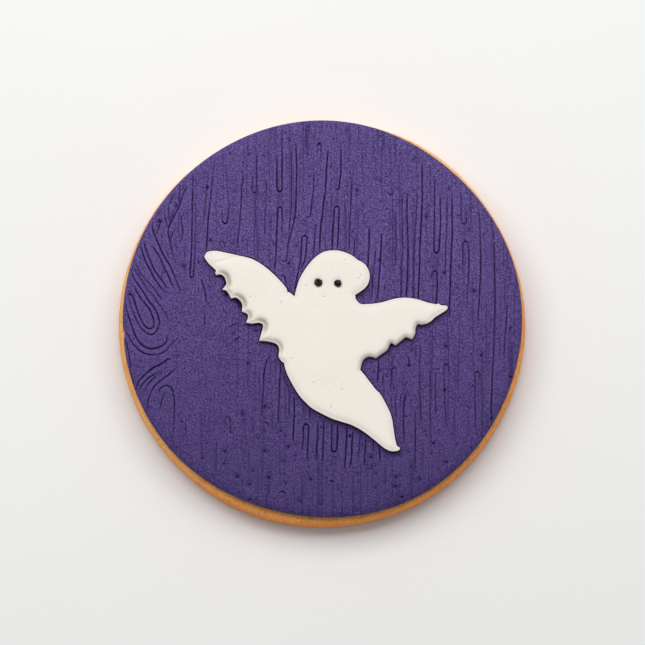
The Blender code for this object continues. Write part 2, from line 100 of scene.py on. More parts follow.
def jittered_grid(low, high, step, seed):
    """Places on a square grid, each nudged a little so that no rows show."""
    (left, near), (right, far) = np.broadcast_to(low, 2), np.broadcast_to(high, 2)
    columns, rows = np.meshgrid(np.arange(left, right, step), np.arange(near, far, step))
    places = np.stack([columns.ravel(), rows.ravel()], axis=1)
    return places + np.random.default_rng(seed).uniform(-0.3, 0.3, places.shape) * step


def at_height(flat, z):
    """Flat places lifted to a height."""
    return np.column_stack([flat, np.full(len(flat), z)])


def strip(first, second):
    """Quads between two closed rings of equal length, given as their vertex numbers."""
    return [[a, b, c, d] for a, b, c, d in zip(first, second, np.roll(second, -1), np.roll(first, -1))]


def fill(outline, inner):
    """Triangles that join the places of an outline and the places inside it."""
    places = [Vector(p[:2]) for p in outline] + [Vector(p[:2]) for p in inner]
    loop = list(range(len(outline)))
    faces, sources = delaunay_2d_cdt(places, [], [loop], 1, 1e-6)[2:4]
    return [[sources[i][0] for i in face] for face in faces]


def close_ring(points, faces, ring, cap):
    """Fills a ring of the points with faces over the places of a cap, and returns all points."""
    joined = np.r_[ring, np.arange(len(points), len(points) + len(cap))]
    faces += [joined[face] for face in fill(points[ring], cap)]
    return np.concatenate([points, cap])


def add_piece(name, points, faces, material, masks=None):
    """A smooth-shaded mesh object from points in millimetres. A mask is 0 past its last value."""
    mesh = bpy.data.meshes.new(name)
    mesh.from_pydata((np.asarray(points) * MM).tolist(), [], [list(map(int, face)) for face in faces])
    mesh.update()
    bm = bmesh.new()
    bm.from_mesh(mesh)
    bmesh.ops.recalc_face_normals(bm, faces=bm.faces)
    bm.to_mesh(mesh)
    bm.free()
    for mask, values in (masks or {}).items():
        values = np.concatenate([values, np.zeros(len(points) - len(values))])
        mesh.attributes.new(mask, "FLOAT", "POINT").data.foreach_set("value", values)
    mesh.shade_smooth()
    mesh.materials.append(material)
    piece = bpy.data.objects.new(name, mesh)
    bpy.context.collection.objects.link(piece)
    return piece


def add_node(tree, kind, inputs=None, **settings):
    """A shader node. Each input takes a plain value or another node's socket."""
    node = tree.nodes.new("ShaderNode" + kind)
    for name, value in settings.items():
        setattr(node, name, value)
    for key, value in (inputs or {}).items():
        if isinstance(value, bpy.types.NodeSocket):
            tree.links.new(value, node.inputs[key])
        else:
            node.inputs[key].default_value = value
    return node


def new_material(name):
    """A material with its node tree, its shader and the socket that gives a point's place."""
    material = bpy.data.materials.new(name)
    material.use_nodes = True
    tree = material.node_tree
    return material, tree, tree.nodes["Principled BSDF"], add_node(tree, "TexCoord").outputs["Object"]


def read_mask(tree, name):
    """The mask of that name that the piece's mesh carries."""
    return add_node(tree, "Attribute", attribute_name=name).outputs["Fac"]


def compute(tree, operation, *values):
    """One sum on numbers and sockets."""
    return add_node(tree, "Math", dict(enumerate(values)), operation=operation).outputs[0]


def mix_colours(tree, share, first, second):
    """One colour over another by a share from 0 to 1."""
    return add_node(tree, "Mix", {0: share, 6: first, 7: second}, data_type="RGBA").outputs[2]


def remap(tree, value, low, high, to_low, to_high):
    """A value eased from one range to another."""
    inputs = {"Value": value, "From Min": low, "From Max": high, "To Min": to_low, "To Max": to_high}
    return add_node(tree, "MapRange", inputs, interpolation_type="SMOOTHSTEP").outputs["Result"]


def finish_surface(tree, shader, colour, roughness, reflection):
    """Leads colour and roughness into the shader, and sets how much it reflects."""
    tree.links.new(colour, shader.inputs["Base Color"])
    tree.links.new(roughness, shader.inputs["Roughness"])
    shader.inputs["Specular IOR Level"].default_value = reflection


def roughen(tree, shader, height, strength, distance):
    """Leads a height into the shader as fine relief, distance deep in metres."""
    bump = add_node(tree, "Bump", {"Height": height, "Strength": strength, "Distance": distance})
    tree.links.new(bump.outputs[0], shader.inputs["Normal"])


# The fine mottle that baked crumb, sugar paste and dried icing all have: dark and light specks,
# wider cloudy patches, and a height that follows both.
mottle = bpy.data.node_groups.new("mottle", "ShaderNodeTree")
for direction, sockets in (
        ("INPUT", {"Vector": "Vector", "Colour": "Color", "Dark": "Color", "Light": "Color",
                   "Speckle": "Float", "Patches": "Float", "Speckle Scale": "Float", "Patch Scale": "Float"}),
        ("OUTPUT", {"Colour": "Color", "Height": "Float", "Roughness": "Float"})):
    for socket_name, socket_kind in sockets.items():
        mottle.interface.new_socket(socket_name, in_out=direction, socket_type="NodeSocket" + socket_kind)
given = mottle.nodes.new("NodeGroupInput").outputs
result = mottle.nodes.new("NodeGroupOutput").inputs
specks, patches = (
    add_node(mottle, "TexNoise", {"Vector": given["Vector"], "Scale": given[scale], "Detail": 4.0,
                                  "Roughness": grit}).outputs[0]
    for scale, grit in (("Speckle Scale", 0.7), ("Patch Scale", 0.55)))
dark_share = compute(mottle, "MULTIPLY", remap(mottle, specks, 0.50, 0.38, 0.0, 1.0), given["Speckle"])
light_share = compute(mottle, "MULTIPLY", remap(mottle, specks, 0.50, 0.62, 0.0, 1.0), given["Speckle"])
patch_share = compute(mottle, "MULTIPLY", remap(mottle, patches, 0.35, 0.65, 0.0, 1.0), given["Patches"])
patched = mix_colours(mottle, patch_share, given["Colour"], given["Dark"])
darkened = mix_colours(mottle, dark_share, patched, given["Dark"])
mottle.links.new(mix_colours(mottle, light_share, darkened, given["Light"]), result["Colour"])
mottle.links.new(compute(mottle, "MULTIPLY_ADD", patches, 0.6, specks), result["Height"])
mottle.links.new(remap(mottle, specks, 0.3, 0.7, 0.82, 0.58), result["Roughness"])


def add_mottle(tree, vector, colours, amounts, scales):
    """The mottle in one material: its colours, how much of each kind, and how fine each is."""
    names = ("Vector", "Colour", "Dark", "Light", "Speckle", "Patches", "Speckle Scale", "Patch Scale")
    inputs = dict(zip(names, (vector, *colours, *amounts, *scales)))
    return add_node(tree, "Group", inputs, node_tree=mottle).outputs


baked, tree, shader, place = new_material("baked_biscuit")
golden = (0.98, 0.39, 0.095, 1.0)
tan = (0.99, 0.262, 0.035, 1.0)
brown_and_pore_shade = (0.50, 0.17, 0.035, 1.0)
crumb_light = (0.98, 0.54, 0.19, 1.0)
# Painted light: the paler, yellower crust colour laid on the far side and on the left
lit_side_pale = (0.96, 0.51, 0.185, 1.0)
split = add_node(tree, "SeparateXYZ", {0: place}).outputs
strata = add_node(tree, "Mapping", {"Vector": place, "Scale": (1.0, 1.0, 2.6)}).outputs[0]
foot_share = remap(tree, split["Z"], 2.2 * MM, 0.1 * MM, 0.0, 0.75)
golden_share = remap(tree, split["Z"], 3.2 * MM, 5.0 * MM, 0.0, 1.0)
toasted = mix_colours(tree, golden_share, mix_colours(tree, foot_share, tan, brown_and_pore_shade), golden)
# Painted light: the crust turns paler and yellower towards the left and the far side, where the soft box
# shines
painted_light_left = remap(tree, split["X"], -15 * MM, -38 * MM, 0.0, 0.7)
painted_light_far = remap(tree, split["Y"], 8 * MM, 34 * MM, 0.0, 0.95)
side_colour_with_painted_light = mix_colours(tree, compute(tree, "MAXIMUM", painted_light_left, painted_light_far), toasted, lit_side_pale)
crumb = add_mottle(tree, strata, (side_colour_with_painted_light, brown_and_pore_shade, crumb_light), (0.42, 0.22), (2300.0, 300.0))
# Painted shade: the pores are coloured darker brown through their hollow mask
crumb_colour_with_pore_shade = mix_colours(tree, read_mask(tree, "hollow"), crumb["Colour"], brown_and_pore_shade)
finish_surface(tree, shader, crumb_colour_with_pore_shade, crumb["Roughness"], 0.2)
roughen(tree, shader, crumb["Height"], 0.9, 0.00014)

angles, outward = directions(rim_count)
profile = [(shoulder[0] * (math.cos(t) - 1), biscuit_top - shoulder[1] * (1 - math.sin(t)),
            math.cos(t), math.sin(t)) for t in np.linspace(math.pi / 2, 0, shoulder_rows)]
profile += [(0.0, z, 1.0, 0.0) for z in np.linspace(biscuit_top - shoulder[1], foot[1], side_rows)[1:-1]]
profile += [(foot[0] * (math.cos(t) - 1), foot[1] * (1 - math.sin(t)), math.cos(t), -math.sin(t))
            for t in np.linspace(0, math.pi / 2, foot_rows)]
rows = []
lean = []
for inset, z, away, up in profile:
    reach = biscuit_radius + stray(angles, biscuit_waves) + inset
    rows.append(at_height(outward * reach[:, None], z))
    lean.append(at_height(outward * away, up))
points = np.concatenate(rows)
crumb_relief = 0.5 + 0.5 * cloud(points, crumb_lumps) + 0.35 * cloud(points, crumb_layers, seed=4.1)
hollow = pores(points, side_pores)
inward = np.clip(crumb_relief, 0, 1.3) * crumb_depth + hollow * side_pores[2]
end_rows = np.repeat(np.r_[top_edge_crumb, np.ones(len(profile) - 2), 0.0], rim_count)
points -= np.concatenate(lean) * (inward * end_rows)[:, None]
points[:, 2] = np.clip(points[:, 2], 0, biscuit_top)
numbers = np.arange(len(points)).reshape(len(profile), rim_count)
faces = [face for upper, lower in zip(numbers, numbers[1:]) for face in strip(upper, lower)]
for ring, z, step in ((numbers[0], biscuit_top, top_step), (numbers[-1], 0.0, base_step)):
    inner_reach = np.linalg.norm(points[ring][:, :2], axis=1).min()
    cap = jittered_grid(-biscuit_radius, biscuit_radius, step, seed=2)
    cap = at_height(cap[np.linalg.norm(cap, axis=1) < inner_reach - step * 0.6], z)
    cap_hollow = np.zeros(len(cap))
    if z == 0:
        cap_hollow = pores(cap, base_pores, seed=9.0)
        cap[:, 2] = base_hollow * np.clip(cloud(cap, base_lumps, seed=1.3) + 0.1, 0, 1)
        cap[:, 2] += base_pores[2] * cap_hollow
    points = close_ring(points, faces, ring, cap)
    hollow = np.concatenate([hollow, cap_hollow])
# The hollow mask also carries the painted shade of the pores
biscuit = add_piece("biscuit_baked", points, faces, baked, {"hollow": hollow * 0.8})
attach(biscuit, "root")
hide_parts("biscuit")

# The purple disc: sugar paste rolled over a woodgrain mat, cut round and laid on the biscuit.
# The grain is a set of narrow channels, some in pairs joined by a half circle, that flow round
# two knots at the left edge; the matt surface is full of tiny pits, and the cut edge is rounded.
icing_radius = 39.39
icing_top = 8.0
icing_waves = [(1, 0.47, 96), (2, 0.15, -60), (3, 0.17, -37), (4, 0.11, 19), (5, 0.12, 10)]
icing_rim_count = 720
# How far in each reaches, and how far the surface drops over it
edge_round = (2.2, 0.95)
edge_slope = (9.0, 0.25)
edge_rings = (0.03, 0.11, 0.24, 0.42)
shoulder_rings = (0.62, 0.86, 1.15, 1.5, 1.95)
wall_rows = [(0.0, 6.6), (0.02, 6.3), (0.09, 6.0), (0.22, 5.7), (0.42, 5.5)]
nick = (math.radians(183.7), math.radians(1.3), 0.3)
channel_depth = 0.3
channel_half = 0.17
lip_height = 0.05
lip_away = 0.1
lip_width = 0.11
open_end = 0.9
wander = 0.045
wander_length = 1.8
# How much a line's strength comes and goes and over what length, what is left of it at its ends,
# and how wide the weakest line is
line_change = (0.45, 1.1)
end_strength = 0.45
weakest_width = 0.72
along_step = 0.4
across_rows = (0.0, 0.06, -0.06, 0.12, -0.12, 0.18, -0.18, 0.3, -0.3)
end_steps = (0.12, 0.25, 0.4)
surface_step = 0.72
under_step = 6.0
# Smallest gaps between the places of the surface: at the grain, at the shoulder and elsewhere
grain_gap = 0.055
shoulder_gap = 0.2
surface_gap = 0.42
# The surface under the highest place, and its swells: how high and how long
surface_low = 0.06
swells = (0.035, 9.0)
ripples = (0.02, (1.6, 6.0, 1.0))

# Channels: how strong each is from its start to its end, and its places as x, y, x, y
channels = [
    ((0.55, 0.65, 0.9, 0.95), [-21.4, 32.2, -21.75, 27.7, -22.15, 24.2, -22.5, 20.7, -22.7, 17.9,
     -22.9, 13.8]),
    ((0.5, 0.6, 0.35), [-22.5, 30.2, -22.8, 26.6, -23.15, 23.2, -23.5, 20, -23.6, 18.2]),
    ((0.8, 0.75), [-15.7, 29.3, -16, 25.5, -16.2, 21.6, -16.4, 19, -16.6, 16.7, -16.85, 14.8]),
    (0.6, [-20.2, 15, -20.1, 15.6, -19.7, 15.8, -19.35, 15.3, -19.3, 14.6]),
    (0.35, [-13.2, 21.8, -13.2, 17.2]),
    ((0.6, 0.6, 0.45, 0.5), [-12.3, 27.6, -11.7, 28, -11.1, 27.2, -11.2, 22.5, -11.3, 20, -11.4, 17.6,
     -11.85, 17]),
    (0.5, [-11.9, 33.1, -11.2, 32.7]),
    (0.35, [-8.3, 25.4, -8.3, 23.2]),
    (0.65, [-6.2, 34.5, -6.15, 29.5, -6.1, 24.2, -6.3, 21.6, -6.55, 18.1, -6.7, 15.8]),
    ((0.9, 1.0, 1.0, 1.0, 0.6), [-5.3, 35.3, -5.15, 32, -5.1, 29.5, -5.2, 26, -5.3, 22.5, -5.5, 20.4,
     -5.9, 18.5, -6.4, 16.7, -6.75, 15.5, -6.9, 14, -7, 12.6, -7.2, 11.9, -7.6, 11.7, -8, 11.95]),
    (0.45, [-3.25, 38.6, -3.25, 34]),
    (0.6, [-1, 33.2, -1, 34.9, -0.65, 35.4, -0.3, 34.9, -0.3, 33]),
    ((0.6, 0.7, 0.8), [-1.7, 29.5, -1.8, 26, -2.05, 24.2, -2.3, 21.6, -2.45, 20.9, -2.85, 20.5, -3.3, 20.7]),
    (0.7, [-1.35, 19.2, -1.5, 16.7, -1.6, 15, -1.8, 13.3]),
    (1.1, [1.05, 33.9, 0.8, 30.4, 0.55, 26, 0.2, 23.4, 0, 21.1, -0.3, 19.3, -0.45, 17.2, -0.6, 13.8]),
    ((0.4, 1.0, 1.0, 1.0), [3.65, 35, 3.65, 33, 3.6, 29.5, 3.4, 27.7, 3.25, 26.4, 2.9, 26.05, 2.45, 26.3]),
    (0.35, [5.5, 37.7, 5.4, 35.1, 5.3, 33]),
    (0.72, [5.85, 28.3, 5.65, 24.2, 5.5, 21.6, 5.4, 19, 5.2, 14]),
    (0.65, [6.3, 16.5, 6.2, 12.2]),
    (1.0, [9.2, 18.5, 9.15, 15, 9, 12.4, 8.85, 9.6]),
    (0.65, [10.4, 13.8, 10.15, 11.1, 9.85, 8.4, 9.75, 6, 9.5, 3.9]),
    (1.0, [11.65, 17.3, 11.5, 14.3, 11.25, 10, 11.1, 8.4, 10.75, 3.8]),
    (0.6, [11.9, 11.4, 12.15, 10.9]),
    (0.65, [12.2, 7.1, 12.2, 5.5]),
    (0.9, [13, 25.5, 13.1, 25.2, 13.5, 25.05, 13.9, 25.2, 14, 25.5]),
    (0.65, [14.4, 21.6, 14.5, 16, 14.4, 11]),
    (0.65, [15.7, 25, 15.75, 15, 15.55, 10, 15.4, 4.2]),
    ((0.9, 1.0, 1.0), [16.75, 25.3, 16.65, 21, 16.85, 15, 16.75, 9, 16.6, 6.8, 16.45, 3.5]),
    (0.65, [18.65, 25.8, 18.6, 23.5, 18.4, 20, 18.1, 15, 17.9, 10.3, 17.8, 3.6]),
    ((0.8, 1.1, 1.15, 1.1), [19.7, 31.9, 19.65, 27.9, 19.7, 25.3, 19.65, 22.7, 19.5, 20, 19.2, 15, 19.08, 10,
     18.95, 7.8, 18.8, 3.3]),
    (0.65, [24.6, 25, 24.5, 19, 24.3, 15, 24.2, 11.6, 24.15, 8.4]),
    ((0.7, 1.0, 1.0, 0.9), [25.5, 25.4, 25.6, 18, 25.45, 15, 25.25, 10, 25.1, 5, 24.95, 2.6, 24.95, 0.7]),
    ((0.6, 0.8, 0.85, 0.8), [30.8, 22, 31, 20, 31.1, 15, 31.1, 10, 30.85, 4.4, 30.5, -0.4]),
    ((0.7, 0.8, 0.65, 0.75, 0.95), [33.7, 18, 33.8, 15.6, 33.9, 8.4, 34, 5.2, 33.85, -0.4, 33.65, -6,
     33.45, -9.6, 33.25, -13.6, 33.1, -17.6, 33.2, -19.4]),
    (0.65, [36.4, 4.7, 36.15, -0.4, 35.9, -3.6, 35.6, -8.8]),
    (0.65, [31.6, -3, 31.4, -4.4]),
    (0.5, [33.1, 1.2, 33, -1.4]),
    (0.35, [32.5, -8, 32.45, -10.7]),
    ((0.8, 1.0, 0.9), [-26.7, 26.8, -27.3, 25.6, -27.8, 24.3, -28.1, 23.2, -28.6, 22.2, -29.5, 20.4,
     -30.2, 18.8, -30.55, 18]),
    (0.6, [-28.85, 22.9, -29.3, 21.8, -29.75, 20.6, -30, 19.6]),
    ((0.7, 0.4), [-30.7, 19.6, -30.6, 18.6, -30.5, 17.7]),
    (0.5, [-27.2, 27.6, -27.6, 26.3, -27.75, 25.2]),
    (0.5, [-31.9, 22, -32.4, 21.2, -32.9, 20.6]),
    (0.5, [-33.6, 16.6, -34.2, 17.2, -34.5, 18]),
    (0.4, [-31.3, 17.8, -31.6, 16.8, -31.8, 15.9]),
    (0.6, [-28.1, 27, -28.2, 25.8, -28.4, 24.6, -28.3, 23.4]),
    (0.6, [-29.6, 25.5, -30.3, 24.7, -30.85, 24]),
    (0.5, [-28.5, 21.3, -28.3, 20, -28.45, 19, -28.5, 18, -28.35, 16.8]),
    ((0.6, 0.9, 1.0, 0.8, 0.5), [-30.35, 23, -30.4, 21, -30.05, 19.6, -30.4, 18.4, -30.45, 17.3, -30.15, 15.9,
     -29.9, 14.4, -29.5, 13]),
    ((0.7, 0.6), [-28.15, 26.8, -28.15, 24.9, -28.35, 23, -28.6, 21.6]),
    ((0.6, 0.8), [-29.1, 25.7, -29.75, 24.2, -30.25, 23]),
    (0.7, [-29.3, 22, -29.9, 20.9, -30.4, 20.1]),
    (0.5, [-27.2, 22, -26.7, 21.4, -26.9, 20.7]),
    (0.5, [-25.3, 17.6, -24.9, 17, -24.6, 17.4]),
    (0.45, [-31, 14.6, -30.6, 13.4, -30.2, 12.2]),
    (0.45, [-27, 15.2, -27.1, 13.6, -27.3, 12.2]),
    (0.7, [-29, 18.3, -29.5, 17.5, -29.8, 16.6, -30.05, 15.9]),
    (0.65, [-29.4, 25.4, -30, 24.1, -30.4, 23, -30.4, 21.9, -30.2, 20.9, -30.05, 19.6]),
    (0.65, [-31.35, 22.8, -31.15, 21.3, -31, 20.2, -30.6, 18.4]),
    ((1.1, 0.8), [-32, 19.8, -32.2, 18.8, -32.6, 17.7, -32.95, 16.9]),
    (0.6, [-32.4, 19.8, -32.7, 18.6, -32.95, 17.6]),
    ((0.8, 0.75, 0.9), [-27.35, 21.1, -27.85, 20.4, -27.7, 18.8, -27.6, 17.4, -27.75, 16.3, -28.2, 15.65]),
    # Round the upper knot
    (1.0, [-35.3, 15.9, -34.8, 14.1, -34, 12.05, -33.3, 10.3, -32.7, 9.4, -31.8, 8.2, -31, 7, -30.5, 6.3]),
    (1.0, [-35.8, 14.7, -35.4, 13.3, -34.8, 11.6, -33.9, 9.95, -33.05, 8.2, -31.85, 6.6, -30.8, 5.5]),
    ((1.0, 1.0, 1.0, 0.4), [-33.7, 19.2, -33.3, 17.5, -32.7, 16.1, -31.85, 14.1, -31, 12.4, -30.1, 11,
     -29.6, 9.8, -28.9, 8.2, -28.2, 6.4, -27.9, 4.9]),
    (0.9, [-33.6, 14.8, -32.7, 13.6, -31.85, 12, -31.2, 10.5, -30.5, 9.1, -29.8, 7.5, -29.25, 6.4]),
    (0.65, [-31.3, 10.3, -31.45, 9.3, -31.8, 8.7]),
    (0.65, [-30.55, 17.5, -30.05, 15.9, -29.8, 14.5, -29.4, 12.9, -28.9, 11.5]),
    (0.4, [-29.05, 16.3, -28.9, 14.7, -28.4, 12.7]),
    ((1.1, 1.1, 0.8, 0.5), [-23.95, 8.2, -23.45, 6.9, -23.05, 5.3, -22.85, 3.9, -22.4, 3.1]),
    (0.6, [-23.25, 1.4, -23.2, -1.5]),
    (0.6, [-18.6, -1.3, -17.8, -1, -17, -0.6]),
    (0.9, [-17.5, -4.1, -16.9, -3.7, -16.2, -3.15]),
    (0.6, [-17.9, -2.8, -17.1, -2.1]),
    (0.5, [-19.5, 2.3, -19.2, 1.6, -18.7, 0.9]),
    (1.0, [-8.15, 8.8, -7.9, 9.05, -7.6, 9, -7.4, 8.5, -7.25, 7.8, -7.2, 7.1]),
    (0.9, [-4.6, 10.6, -4.72, 9.9, -4.95, 8.9, -5.2, 7.5, -5.5, 6.2]),
    (0.65, [-24.5, 6.4, -24.4, 5.7]),
    (0.6, [-16.9, -3.8, -16.3, -3.3]),
    ((1.2, 0.9, 1.25, 0.9), [-38, 5.3, -37.6, 5.1, -37.15, 4.2, -36.65, 2.6, -36.1, 1, -35.4, -0.4,
     -34.65, -1.35, -33.95, -1.65, -33.3, -1.2, -33.2, -0.2, -33.5, 0.9, -34, 2.1, -34.8, 3.2, -35.6, 4.15,
     -36.45, 5.5, -37.05, 6.7]),
    ((0.7, 0.8, 1.0, 1.1, 0.9), [-38.3, 4.7, -37.65, 2.8, -37.15, 1.35, -36.6, 0.1, -35.9, -1.2, -35, -2.2,
     -34, -2.75, -33.1, -2.6, -32.4, -1.6, -32.1, -0.2, -32.5, 1.2, -33.2, 2.6, -34.3, 4, -35.3, 5.65,
     -36.3, 7.15, -37.2, 8.5, -37.75, 9.8]),
    (0.65, [-37.15, 11.9, -36.6, 10.8, -35.7, 9.1, -34.5, 7.7, -33.2, 6.4, -32.4, 5.2, -31.5, 4.2]),
    (0.65, [-37.3, 10.65, -36.4, 9.1, -35.3, 7.5, -34.3, 5.9, -33.2, 4.8, -32.4, 3.5, -31.5, 2.3, -30.8, 1.2,
     -30.4, 0]),
    ((0.8, 1.0, 1.35, 0.8), [-39, 3.6, -38.45, 1.7, -37.9, 0, -37.3, -1.8, -36.7, -3.3, -35.85, -4.5,
     -34.8, -5.3, -33.6, -5.65, -32.4, -5.4, -31.35, -4.9, -30.7, -4.15, -30.5, -3]),
    ((0.8, 0.9, 0.8, 0.35), [-38.8, -1.8, -38.1, -3.2, -37.3, -4.6, -36.5, -5.4, -35.85, -6, -34.8, -6.6,
     -33.6, -6.8, -32.4, -6.7, -31.3, -6.3, -30.5, -5.65, -29.95, -5, -29.1, -4.1, -27.9, -3.3]),
    ((1.0, 0.9, 0.8), [-39.1, -3.4, -38.6, -4.4, -38.2, -6.1, -37.9, -8, -37.75, -9.6, -37.5, -11,
     -37.15, -12.6, -36.6, -14.1]),
    # Round the lower knot
    ((0.9, 1.3, 1.3), [-36.6, -13.3, -36.1, -12.05, -35.3, -11.1, -34.3, -10.2, -33.1, -9.3, -31.85, -8.7,
     -31, -8.1, -30.3, -7.6, -29.8, -7.75]),
    (0.8, [-36.1, -14, -35.7, -13.1, -34.8, -12, -33.8, -11.1, -32.55, -10.5, -31.7, -10.1]),
    (0.65, [-35, -14.3, -34.45, -12.9, -33.6, -11.9, -32.55, -11, -31.5, -10.5]),
    ((0.7, 0.9, 0.7), [-34.4, -18, -34.3, -16.2, -33.9, -14.7, -33.2, -13.3, -32.5, -12.5, -31.3, -11.6,
     -30.3, -10.8, -29.4, -10, -28.7, -9.25]),
    ((0.8, 0.9, 0.7, 0.5), [-32.1, -14.5, -31.9, -13.5, -31.3, -13.1, -30.5, -12.9, -29.8, -13.3,
     -29.35, -14.3, -29.1, -15.9, -29.1, -18, -29.15, -20.1, -29.3, -22.4, -29.6, -23.4]),
    (0.7, [-30.9, -14.3, -31.35, -15.2, -31.7, -16.4, -31.9, -17.5, -32.1, -18.2]),
    # Below the ghost
    ((0.7, 0.9, 0.8, 0.6), [-10.35, -6.8, -10.9, -7.95, -11.25, -9.25, -11.5, -10.5, -11.6, -13.4,
     -11.85, -16.6, -11.95, -19.3]),
    (0.9, [-11.6, -20.3, -11.1, -20.2, -10.6, -20.6, -10.5, -20.9]),
    (0.5, [-9.75, -18, -9.85, -20.1, -9.85, -21.9]),
    (0.9, [-8.3, -8.6, -8.27, -10, -8.4, -11.9, -8.55, -15.9, -8.65, -18, -8.7, -20.5]),
    (0.65, [-7.8, -10.5, -7.15, -12.4, -6.65, -13.6, -6.5, -15, -6.6, -19]),
    (1.0, [-5.6, -15, -5.55, -17.3, -5.65, -20, -5.8, -24.1]),
    (0.65, [-3.8, -16.9, -3.6, -19]),
    (0.65, [-2.6, -17.6, -2.35, -19.4]),
    (0.9, [-0.95, -20, -0.95, -23.3, -1.15, -25, -1.2, -27.6]),
    (0.9, [0.25, -19.8, 0.2, -22.4, 0.1, -25, -0.05, -28]),
    (0.4, [0.4, -24.1, 0.85, -24.5]),
    (1.0, [4.8, -21.2, 4.7, -23.3, 4.6, -25, 4.45, -27.6, 4.35, -29.3]),
    (1.0, [6, -22, 5.8, -24.1, 5.75, -25.9, 5.6, -27.6, 5.3, -29.3]),
    (0.65, [7.4, -22.6, 7.25, -24.1, 7.2, -26.7]),
    (0.8, [8.4, -23, 8.4, -25, 8.25, -26.8, 8.2, -28.9]),
    (0.65, [10, -23.9, 10, -25.9]),
    (0.8, [11.2, -25, 11.25, -26.5, 11.2, -28.3]),
    (0.7, [12.5, -25.9, 12.55, -26.8]),
    (0.35, [13.1, -26.2, 13.1, -28]),
    (1.0, [11, -7.9, 11, -9.4, 10.9, -10.7, 10.7, -12.3]),
    (0.65, [11.9, -11, 11.75, -13]),
    (0.6, [12.75, -10.5, 12.45, -11]),
    (0.65, [14.5, -14.4, 14.3, -15.5, 14.3, -17.6, 14.5, -19.2]),
    (0.5, [15.6, -14.4, 15.3, -15.7, 15.15, -17.6]),
    (0.8, [16.7, -13.9, 16.2, -15.5, 15.95, -16.8, 15.85, -20, 15.95, -24]),
    (0.6, [16.75, -12, 16.1, -13]),
    (0.65, [18.3, -5, 18.3, -7.7]),
    ((0.5, 0.65, 0.6), [18.2, -17.6, 18.2, -23.2, 18.2, -30.4]),
    (0.65, [19.1, -5, 19.1, -9.3, 19.15, -13.6, 19.25, -18.4, 19.4, -20.3]),
    (0.55, [21.1, -10.4, 21.1, -16.8, 21.2, -22.4, 21.4, -26.4]),
    (0.65, [22.2, -10.2, 22.15, -13.6, 22.2, -18.4]),
    (0.6, [22.1, -9.9, 22.45, -9.5, 22.8, -9.9]),
    ((0.7, 0.9), [16.7, -6.9, 17, -8, 17, -8.9]),
    ((0.3, 0.65, 0.8), [-19.1, -22, -19.1, -19.6, -18.7, -19, -18.15, -19.6, -18.1, -20.8, -18.1, -22.2]),
    (0.9, [-8.55, -34.2, -8, -33.8, -7.5, -34, -7.3, -34.5]),
    (0.9, [1.3, -31.9, 1.85, -31.7, 2.3, -32]),
    (0.6, [0.6, -30.9, 1, -31.3]),
    (0.4, [-8.55, -29.7, -8.3, -30.4, -7.75, -30.45, -7.45, -30]),
    (0.65, [-10.5, -31, -10.5, -34.9]),
    (0.65, [0.8, -28.8, 0.8, -30]),
    (0.35, [-5.7, -32, -5.65, -35]),
    (0.35, [-15.7, -31.8, -15.7, -33.6]),
    (0.35, [-5.4, -34.7, -5.3, -36.8]),
    (0.45, [-23.8, -18.4, -23.65, -28.3]),
    (0.45, [-20.8, -22.8, -20.9, -30.3]),
    (0.5, [-26.9, -19.8, -26.85, -23.4]),
]

# Paired channels: strengths, one side and the other, each from its open end to the half circle
slots = [
    ((0.7, 0.8, 0.9, 0.4, 0.35), [-25.6, 29.5, -25.7, 24, -25.8, 15, -26.15, 8.9], [-25, 29.8, -25.1, 15,
     -25.35, 10, -25.45, 8.9]),
    ((0.4, 0.95, 0.6, 0.35, 0.35, 0.7), [-19.75, 21.7, -19.75, 19.8], [-18.95, 31, -18.9, 27.7, -18.5, 23.4,
     -18.75, 19.8]),
    (0.65, [-13.8, 29, -13.9, 25.9], [-13, 34.2, -13, 25.9]),
    ((0.9, 1.0, 0.9, 0.4), [-9, 33, -9, 26.2], [-8, 37.6, -8, 26.2]),
    ((0.9, 1.0, 1.0, 0.7, 0.3), [-9.5, 10.3, -9.25, 12.2, -9.1, 15.7, -8.9, 22.1], [-8, 17.2, -7.95, 22.1]),
    (0.9, [-4.75, 9.95, -4.55, 11, -4.3, 12.75, -4.15, 14.5, -4.05, 16.4], [-4.3, 9.95, -3.8, 11.3,
     -3.35, 12.75, -3.2, 14.5, -3.05, 16.4]),
    (1.0, [1.9, 14.2, 2, 17.2, 2.2, 20, 2.3, 22.25], [2.9, 14.2, 3.05, 16.4, 3.2, 20, 3.3, 22.25]),
    (0.35, [13, 17.5, 13, 19.9], [13.85, 18, 13.6, 19.9]),
    ((0.65, 0.75, 0.9, 1.0, 0.95, 0.8), [22.15, 28.7, 22.1, 23.5, 21.95, 13.9], [23.2, 25.2, 23.25, 19,
     22.95, 13.9]),
    ((0.4, 1.0, 1.0), [21.5, 7.8, 21.55, 9.3], [22.3, 2.4, 22.45, 5, 22.6, 6.8, 22.6, 9.3]),
    (0.65, [27.35, 25.3, 27.4, 19.7], [28.4, 21.8, 28.4, 19.7]),
    ((0.35, 0.7, 1.0, 0.6, 0.3), [27.65, 10.3, 27.65, 15.3], [28.45, 1.2, 28.5, 6.2, 28.7, 7.8, 28.85, 12.7,
     28.7, 15.3]),
    ((0.9, 1.0, 0.9), [-4, -25.6, -3.8, -23.3, -3.8, -21.1], [-3.05, -27.6, -2.8, -23.3, -2.7, -21.1]),
    (1.0, [1.8, -20.5, 1.8, -23.3, 1.75, -25.5], [3, -20.5, 2.9, -23.3, 2.75, -25.5]),
    ((0.65, 0.65, 0.35), [13.35, -13.6, 13.45, -12, 13.6, -9.8], [14.5, -11.2, 14.5, -9.8]),
    (0.6, [24.2, -21.3, 24.15, -18.4, 23.95, -14.7, 23.8, -9.2], [25, -10.7, 24.8, -9.2]),
    (0.6, [30, -22.1, 30, -14.9, 29.95, -10.6], [30.85, -12, 30.85, -10.6]),
]

